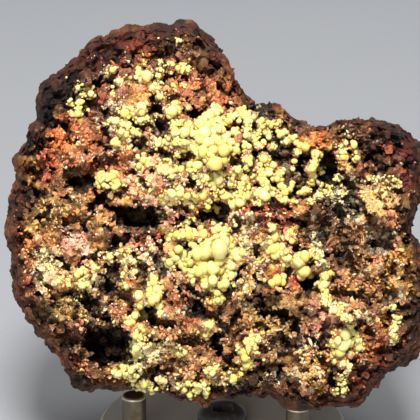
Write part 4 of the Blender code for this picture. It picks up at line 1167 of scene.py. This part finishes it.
def matrix_material():
    """Iron-oxide matrix: tinted, mottled, porous, and dusted with pale grains, with painted shade in its
    pores and hollows.
    """
    shade = Shade("iron_oxide_matrix")
    drift = shade.scaled(shade.noise(shade.spot, 0.0016, 2.0, output="Color"), 0.0009)
    warped = shade.node("ShaderNodeVectorMath", {"operation": "ADD"}, {0: shade.spot, 1: drift})
    dust = shade.attribute("dust")
    broad = shade.noise(shade.spot, 0.004, 5.0, 0.65)
    mottle = shade.noise(warped, 0.0011, 6.0, 0.75, swirl=1.6)
    speck = shade.noise(warped, 0.00032, 3.0, 0.65, swirl=1.0)
    body = shade.scaled(shade.attribute("tint", "Color"), 3.6 * mottle + 2.6 * speck + 0.8 * broad - 1.60)
    # Painted shade in pores: near-black specks where the mottle and the specks are lowest.
    pore_shade = shade.step(mottle * 0.55 + speck * 0.45, 0.475, 0.41)
    body = shade.mix(pore_shade * 0.88, body, PORE_SHADE_BLACK)
    covers = []
    for size in (0.0007, 0.00036):
        colour = shade.cells(warped, size, "Color")
        pick, tone = (shade.node("ShaderNodeSeparateColor", None, {0: colour}, channel) for channel in (0, 1))
        away = shade.cells(warped, size, "Distance")
        shown = shade.step(dust - pick, 0.0, 0.06) * shade.step(away, 0.62, 0.42)
        body = shade.mix(shown, body, shade.mix(tone, IVORY, SAND))
        covers.append(shown)
    # Painted shade: the shade attribute darkens hollows, pits and low spots to near black.
    body = shade.mix(shade.attribute("shade") * 0.92, body, HOLLOW_SHADE_BLACK)
    cover = covers[0] + covers[1]
    bumps = [(mottle, 0.9, 0.0007), (cover, 0.6, 0.0003), (speck, 0.8, 0.00025)]
    return shade.finish(body, 0.80 - 0.20 * cover, bumps)


def crumb_material():
    """Crumbs with their own tint, mottled within."""
    shade = Shade("matrix_crumbs")
    mottle = shade.noise(shade.spot, 0.0004, 4.0, 0.7)
    body = shade.scaled(shade.attribute("tint", "Color"), 0.35 + 1.6 * mottle)
    return shade.finish(body, 0.70, [(mottle, 0.5, 0.0002)])


def mimetite_material(settings):
    """Waxy yellow mimetite: tone by ball, painted shade in amber down the sides that face away from the eye,
    with a drusy surface.
    """
    shade = Shade("mimetite")
    cloud = shade.noise(shade.spot, 0.0012, 3.0)
    druse = shade.noise(shade.spot, 0.00022, 3.0, 0.6)
    body = shade.mix(shade.attribute("tone"), [*settings.crystal_deep, 1.0], [*settings.crystal_pale, 1.0])
    body = shade.mix(shade.step(cloud, 0.45, 0.72) * 0.5, body, HONEY)
    # Painted shade: amber down each ball's sides, where they face away from the eye.
    body = shade.mix(shade.step(shade.attribute("crest"), 0.66, 0.04) * 0.90, body, SIDE_SHADE_AMBER)
    body = shade.mix(shade.step(druse, 0.42, 0.30) * 0.35, body, WAX_GRIT)
    bumps = [(cloud, 0.25, 0.0004), (druse, 0.5, 0.00015)]
    return shade.finish(body, 0.36 + 0.25 * druse, bumps, IOR=1.6, Coat_Weight=0.10)


def grain_material():
    """Pale grains and specks: cream to straw, some stained."""
    shade = Shade("pale_grains")
    cloud = shade.noise(shade.spot, 0.0009, 3.0)
    body = shade.mix(shade.attribute("tone"), GRAIN_CREAM, GRAIN_STRAW)
    body = shade.mix(shade.step(cloud, 0.5, 0.7) * 0.6, body, GRAIN_STAIN)
    return shade.finish(body, 0.45, [(cloud, 0.3, 0.0002)])


def plate_material():
    """Frosted acrylic, pale grey-brown, faintly cloudy."""
    shade = Shade("frosted_acrylic")
    cloud = shade.noise(shade.spot, 0.006, 3.0)
    fine = shade.noise(shade.spot, 0.0003, 2.0)
    body = shade.mix(cloud, PLATE_DIM, PLATE_PALE)
    return shade.finish(body, 0.42 + 0.12 * cloud, [(fine, 0.08, 0.00005)])


def screw_material():
    """Black oxide steel with a faint wear."""
    shade = Shade("black_oxide")
    wear = shade.noise(shade.spot, 0.0012, 4.0)
    fine = shade.noise(shade.spot, 0.00015, 2.0)
    body = shade.mix(shade.step(wear, 0.55, 0.75), SCREW_BLACK, SCREW_WORN)
    return shade.finish(body, 0.24 + 0.2 * wear, [(fine, 0.1, 0.00004)], Metallic=0.35)


def post_material():
    """Dull nickel steel: streaked along its length, stained in patches, with a painted highlight on its
    rounded top edge.
    """
    shade = Shade("nickel_steel")
    stretched = shade.node("ShaderNodeMapping", None, {"Vector": shade.spot, "Scale": (1.0, 1.0, 0.12)})
    streak = shade.noise(stretched, 0.0005, 4.0)
    stain = shade.noise(shade.spot, 0.0022, 3.0)
    body = shade.mix(streak, STEEL_DIM, STEEL_PALE)
    body = shade.mix(shade.step(stain, 0.5, 0.7) * 0.5, body, STEEL_STAIN)
    # Painted highlight: near white on the rounded top edge's rings, marked worn.
    body = shade.mix(shade.attribute("worn"), body, STEEL_HIGHLIGHT)
    return shade.finish(body, 0.34 + 0.20 * stain, [(streak, 0.12, 0.00005)], Metallic=0.90)


def floor_material():
    """A plain pale matt floor, paler towards its far end: painted shade darkens its near end."""
    shade = Shade("pale_floor")
    cloud = shade.noise(shade.spot, 0.2, 2.0)
    # Painted shade: darker near the stand, paler far off.
    far = shade.step(shade.node("ShaderNodeSeparateXYZ", None, {0: shade.spot}, 1), -0.10, 0.45)
    body = shade.mix(cloud * 0.3, shade.mix(far, FLOOR_NEAR, FLOOR_FAR), FLOOR_CLOUD)
    return shade.finish(body, 0.9, [])


def upright(low, high):
    """The bottom, the top, the middle and the radius of a round upright solid, from its box."""
    low, high = np.array(low), np.array(high)
    return low[2], high[2], (low + high)[:2] / 2, (high[0] - low[0]) / 2


def turned_mesh(name, rings, sides, middle, material, worn=()):
    """A closed turned surface about a vertical line, from (radius at an angle, height) rings.

    The rings whose numbers are in worn are marked for a painted highlight."""
    turn = np.arange(sides) * 2 * math.pi / sides
    points = [
        np.stack([middle[0] + radius * np.cos(turn), middle[1] + radius * np.sin(turn),
                  np.full(sides, height)], axis=-1)
        for radius, height in rings
    ]
    loops = ring_loops(len(rings), sides).tolist()
    first = np.arange(sides)
    loops += [first[::-1].tolist(), (first + (len(rings) - 1) * sides).tolist()]
    # The worn mark carries a painted highlight.
    mark = np.repeat([float(ring in worn) for ring in range(len(rings))], sides)
    piece = add_mesh(name, np.concatenate(points), loops, material, [("worn", mark)])
    piece.data.set_sharp_from_angle(angle=math.radians(30))
    return piece


class MimetiteSettings(bpy.types.PropertyGroup):
    """Sizes, amounts and colours of the specimen's finish."""

    skin_cells: bpy.props.IntProperty(
        name="Skin cells", description="Cells across the stone's front", default=280, min=40
    )
    crumb_spacing: bpy.props.FloatProperty(
        name="Crumb spacing", description="Mean distance between the matrix's crumbs",
        default=2.5 * STEP, min=STEP, precision=5, unit="LENGTH",
    )
    seed: bpy.props.IntProperty(name="Seed", description="Start of the random draws", default=7)
    crystal_deep: bpy.props.FloatVectorProperty(
        name="Deep crystals", description="The deepest yellow of the crystals", subtype="COLOR",
        default=tuple(linear(STRAW)), min=0.0, max=1.0,
    )
    crystal_pale: bpy.props.FloatVectorProperty(
        name="Pale crystals", description="The palest yellow of the crystals", subtype="COLOR",
        default=tuple(linear(BUTTER)), min=0.0, max=1.0,
    )
    key_power: bpy.props.FloatProperty(
        name="Key light", description="Power of the key light", default=7.6, min=0.0, unit="POWER"
    )


class MIMETITE_OT_matrix(bpy.types.Operator):
    """Build the matrix stone's finished skin"""

    bl_idname = "mimetite.matrix"
    bl_label = "Matrix Stone"

    def execute(self, context):
        cells = context.scene.mimetite.skin_cells
        outline = rings_and_outline(cells)
        arrays = [
            np.concatenate([f.reshape(-1, *f.shape[2:]), b.reshape(-1, *b.shape[2:])])
            for f, b in zip(front_lattice(*outline), back_lattice(*outline))
        ]
        (points, tint, dust, shade), loops = used_only(arrays, skin_faces(cells))
        attributes = [("tint", tint), ("dust", dust), ("shade", shade)]
        skin = add_mesh("stone_skin", points, loops, matrix_material(), attributes)
        skin.data.set_sharp_from_angle(angle=CREASE_ANGLE)
        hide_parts("matrix_stone")
        return {"FINISHED"}


class MIMETITE_OT_crumbs(bpy.types.Operator):
    """Cover the stone's face and back with angular crumbs of matrix"""

    bl_idname = "mimetite.crumbs"
    bl_label = "Matrix Crumbs"

    def execute(self, context):
        settings = context.scene.mimetite
        spacing = round(settings.crumb_spacing / STEP, 4)
        material = crumb_material()
        for turn, (name, left, right) in enumerate(zip(CRUMB_PIECES, CRUMB_EDGES, CRUMB_EDGES[1:])):
            seed = settings.seed + CRUMB_DRAW + turn
            crumbs(name, crumb_places(left, right, spacing, seed), seed, material)
        rind_crumbs(settings.seed + RIND_DRAW, material)
        return {"FINISHED"}


class MIMETITE_OT_crusts(bpy.types.Operator):
    """Build each crust of round mimetite crystals"""

    bl_idname = "mimetite.crusts"
    bl_label = "Mimetite Crusts"

    def execute(self, context):
        seed = context.scene.mimetite.seed
        material = mimetite_material(context.scene.mimetite)
        for turn, (node, crust) in enumerate(CRUSTS.items()):
            piece = self.crust(*crust, seed + turn, material)
            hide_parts(node)
        self.crust("outlying_crystals", OUTLYING_BALLS, OUTLYING_SWARMS, seed + OUTLYING_DRAW, material)
        return {"FINISHED"}

    def crust(self, name, balls, swarms, seed, material):
        """One piece of placed balls, with swarms and satellites of small ones."""
        small = np.concatenate([scatter(swarms, seed), satellites(balls, seed + SATELLITE_DRAW)])
        groups = [(balls, LARGE_BALL, HIGH_SEAT), (small, SMALL_BALL, LOW_SEAT)]
        return joined_balls(name, groups, seed + SHAPE_DRAW, material)


class MIMETITE_OT_grains(bpy.types.Operator):
    """Scatter pale grains over the stone's face"""

    bl_idname = "mimetite.grains"
    bl_label = "Pale Grains"

    def execute(self, context):
        seed = context.scene.mimetite.seed
        groups = [
            (scatter(WIDE_SWARMS, seed + WIDE_DRAW), CRUMB, LOW_SEAT),
            (scatter(EDGE_SWARMS, seed + EDGE_DRAW), GRAIN, LOW_SEAT),
        ]
        joined_balls("pale_grains", groups, seed + GRAIN_DRAW, grain_material())
        return {"FINISHED"}


class MIMETITE_OT_stand(bpy.types.Operator):
    """Build the plate, the screw and the three pegs"""

    bl_idname = "mimetite.stand"
    bl_label = "Peg Stand"

    def execute(self, context):
        self.plate()
        self.screw()
        steel = post_material()
        for name in POSTS:
            self.peg(name, steel)
        return {"FINISHED"}

    def plate(self):
        """The plate's node keeps its shape and takes the frosted finish."""
        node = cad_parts["base_disc"]
        node.data.materials.clear()
        node.data.materials.append(plate_material())

    def screw(self):
        """The button head: a dome whose inner rings follow a hexagon down into the socket."""
        low, high, middle, radius = upright(*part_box("base_screw"))
        seat = high - SCREW_HEAD
        turn = np.arange(SCREW_SIDES) * 2 * math.pi / SCREW_SIDES
        hexagon = SOCKET_RADIUS / np.cos((turn + math.pi / 6) % (math.pi / 3) - math.pi / 6)
        dome = [(radius * (0.55 + 0.45 * math.cos(a)), high - SCREW_DOME + SCREW_DOME * math.sin(a))
                for a in np.linspace(0.0, math.pi / 2, 10)]
        rings = [(SHANK_RADIUS, low), (SHANK_RADIUS, seat), (radius - SCREW_EDGE, seat),
                 (radius, seat + SCREW_EDGE), *dome, (hexagon + SOCKET_EDGE, high),
                 (hexagon, high - SCREW_EDGE), (hexagon, high - SOCKET_DEPTH)]
        piece = turned_mesh("screw_head", rings, SCREW_SIDES, middle, screw_material())
        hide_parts("base_screw")

    def peg(self, name, material):
        """A straight peg with a rounded top edge, given a painted highlight on the edge that fades off either
        side.
        """
        low, high, middle, radius = upright(*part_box(name))
        edge = [(radius - PEG_CHAMFER * (1 - math.cos(a)), high - PEG_CHAMFER + PEG_CHAMFER * math.sin(a))
                for a in np.linspace(0.0, math.pi / 2, 5)]
        rings = [(radius - FOOT_EDGE, low), (radius, low + FOOT_EDGE), (radius, high - PEG_HIGHLIGHT_BAND), *edge,
                 (radius - PEG_HIGHLIGHT_BAND, high)]
        # Painted highlight on the rounded edge's rings.
        piece = turned_mesh(name + "_peg", rings, PEG_SIDES, middle, material, worn=range(3, 3 + len(edge)))
        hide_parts(name)


class MIMETITE_OT_stage(bpy.types.Operator):
    """Set the floor, the lights and the camera"""

    bl_idname = "mimetite.stage"
    bl_label = "Stage"

    def execute(self, context):
        self.floor(context)
        for lamp in LAMPS:
            self.lamp(context, *lamp)
        world = bpy.data.worlds.new("studio")
        world.use_nodes = True
        world.node_tree.nodes["Background"].inputs["Color"].default_value = WORLD_COLOUR
        world.node_tree.nodes["Background"].inputs["Strength"].default_value = WORLD_STRENGTH
        context.scene.world = world
        context.scene.view_settings.view_transform = "Standard"
        self.camera(context)
        return {"FINISHED"}

    def floor(self, context):
        """A wide square floor under the stand."""
        mesh = bpy.data.meshes.new("floor")
        corners = [(x * FLOOR_REACH, y * FLOOR_REACH, 0.0) for x, y in ((-1, -1), (1, -1), (1, 1), (-1, 1))]
        mesh.from_pydata(corners, [], [[0, 1, 2, 3]])
        mesh.materials.append(floor_material())
        floor = bpy.data.objects.new("floor", mesh)
        context.collection.objects.link(floor)

    def lamp(self, context, name, spot, size, share):
        """A square area light that faces the stone."""
        light = bpy.data.lights.new(name, "AREA")
        light.size, light.energy = size, share * context.scene.mimetite.key_power
        lamp = bpy.data.objects.new(name, light)
        lamp.location = spot
        lamp.rotation_euler = (Vector(AIM) - Vector(spot)).to_track_quat("-Z", "Y").to_euler()
        context.collection.objects.link(lamp)

    def camera(self, context):
        """The camera at the eye point, which sees just the grid's width at the face."""
        camera = bpy.data.cameras.new("camera")
        camera.angle = 2 * math.atan(GRID_MIDDLE * STEP / EYE_DISTANCE)
        camera.clip_start, camera.clip_end = 0.01, 20.0
        eye = bpy.data.objects.new("camera", camera)
        eye.location = FACE_MIDDLE + EYE_DISTANCE * FACE_OUT
        eye.rotation_euler = (Vector(FACE_MIDDLE) - eye.location).to_track_quat("-Z", "Y").to_euler()
        context.collection.objects.link(eye)
        context.scene.camera = eye


class MIMETITE_PT_panel(bpy.types.Panel):
    """The specimen's settings and steps"""

    bl_label = "Mimetite Specimen"
    bl_idname = "MIMETITE_PT_panel"
    bl_space_type = "VIEW_3D"
    bl_region_type = "UI"
    bl_category = "Mimetite"

    def draw(self, context):
        settings = context.scene.mimetite
        for key in MimetiteSettings.__annotations__:
            self.layout.prop(settings, key)
        for operator in OPERATORS:
            self.layout.operator(operator.bl_idname)


OPERATORS = (
    MIMETITE_OT_stage,
    MIMETITE_OT_matrix,
    MIMETITE_OT_crumbs,
    MIMETITE_OT_crusts,
    MIMETITE_OT_grains,
    MIMETITE_OT_stand,
)
CLASSES = (MimetiteSettings, *OPERATORS, MIMETITE_PT_panel)


def register():
    """Register the classes and the settings."""
    for cls in CLASSES:
        bpy.utils.register_class(cls)
    bpy.types.Scene.mimetite = bpy.props.PointerProperty(type=MimetiteSettings)


def unregister():
    """Take the classes and the settings out again."""
    del bpy.types.Scene.mimetite
    for cls in reversed(CLASSES):
        bpy.utils.unregister_class(cls)


def main():
    """Build the whole specimen."""
    register()
    for operator in OPERATORS:
        getattr(bpy.ops.mimetite, operator.bl_idname.split(".")[1])()
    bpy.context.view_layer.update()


if __name__ == "__main__":
    main()
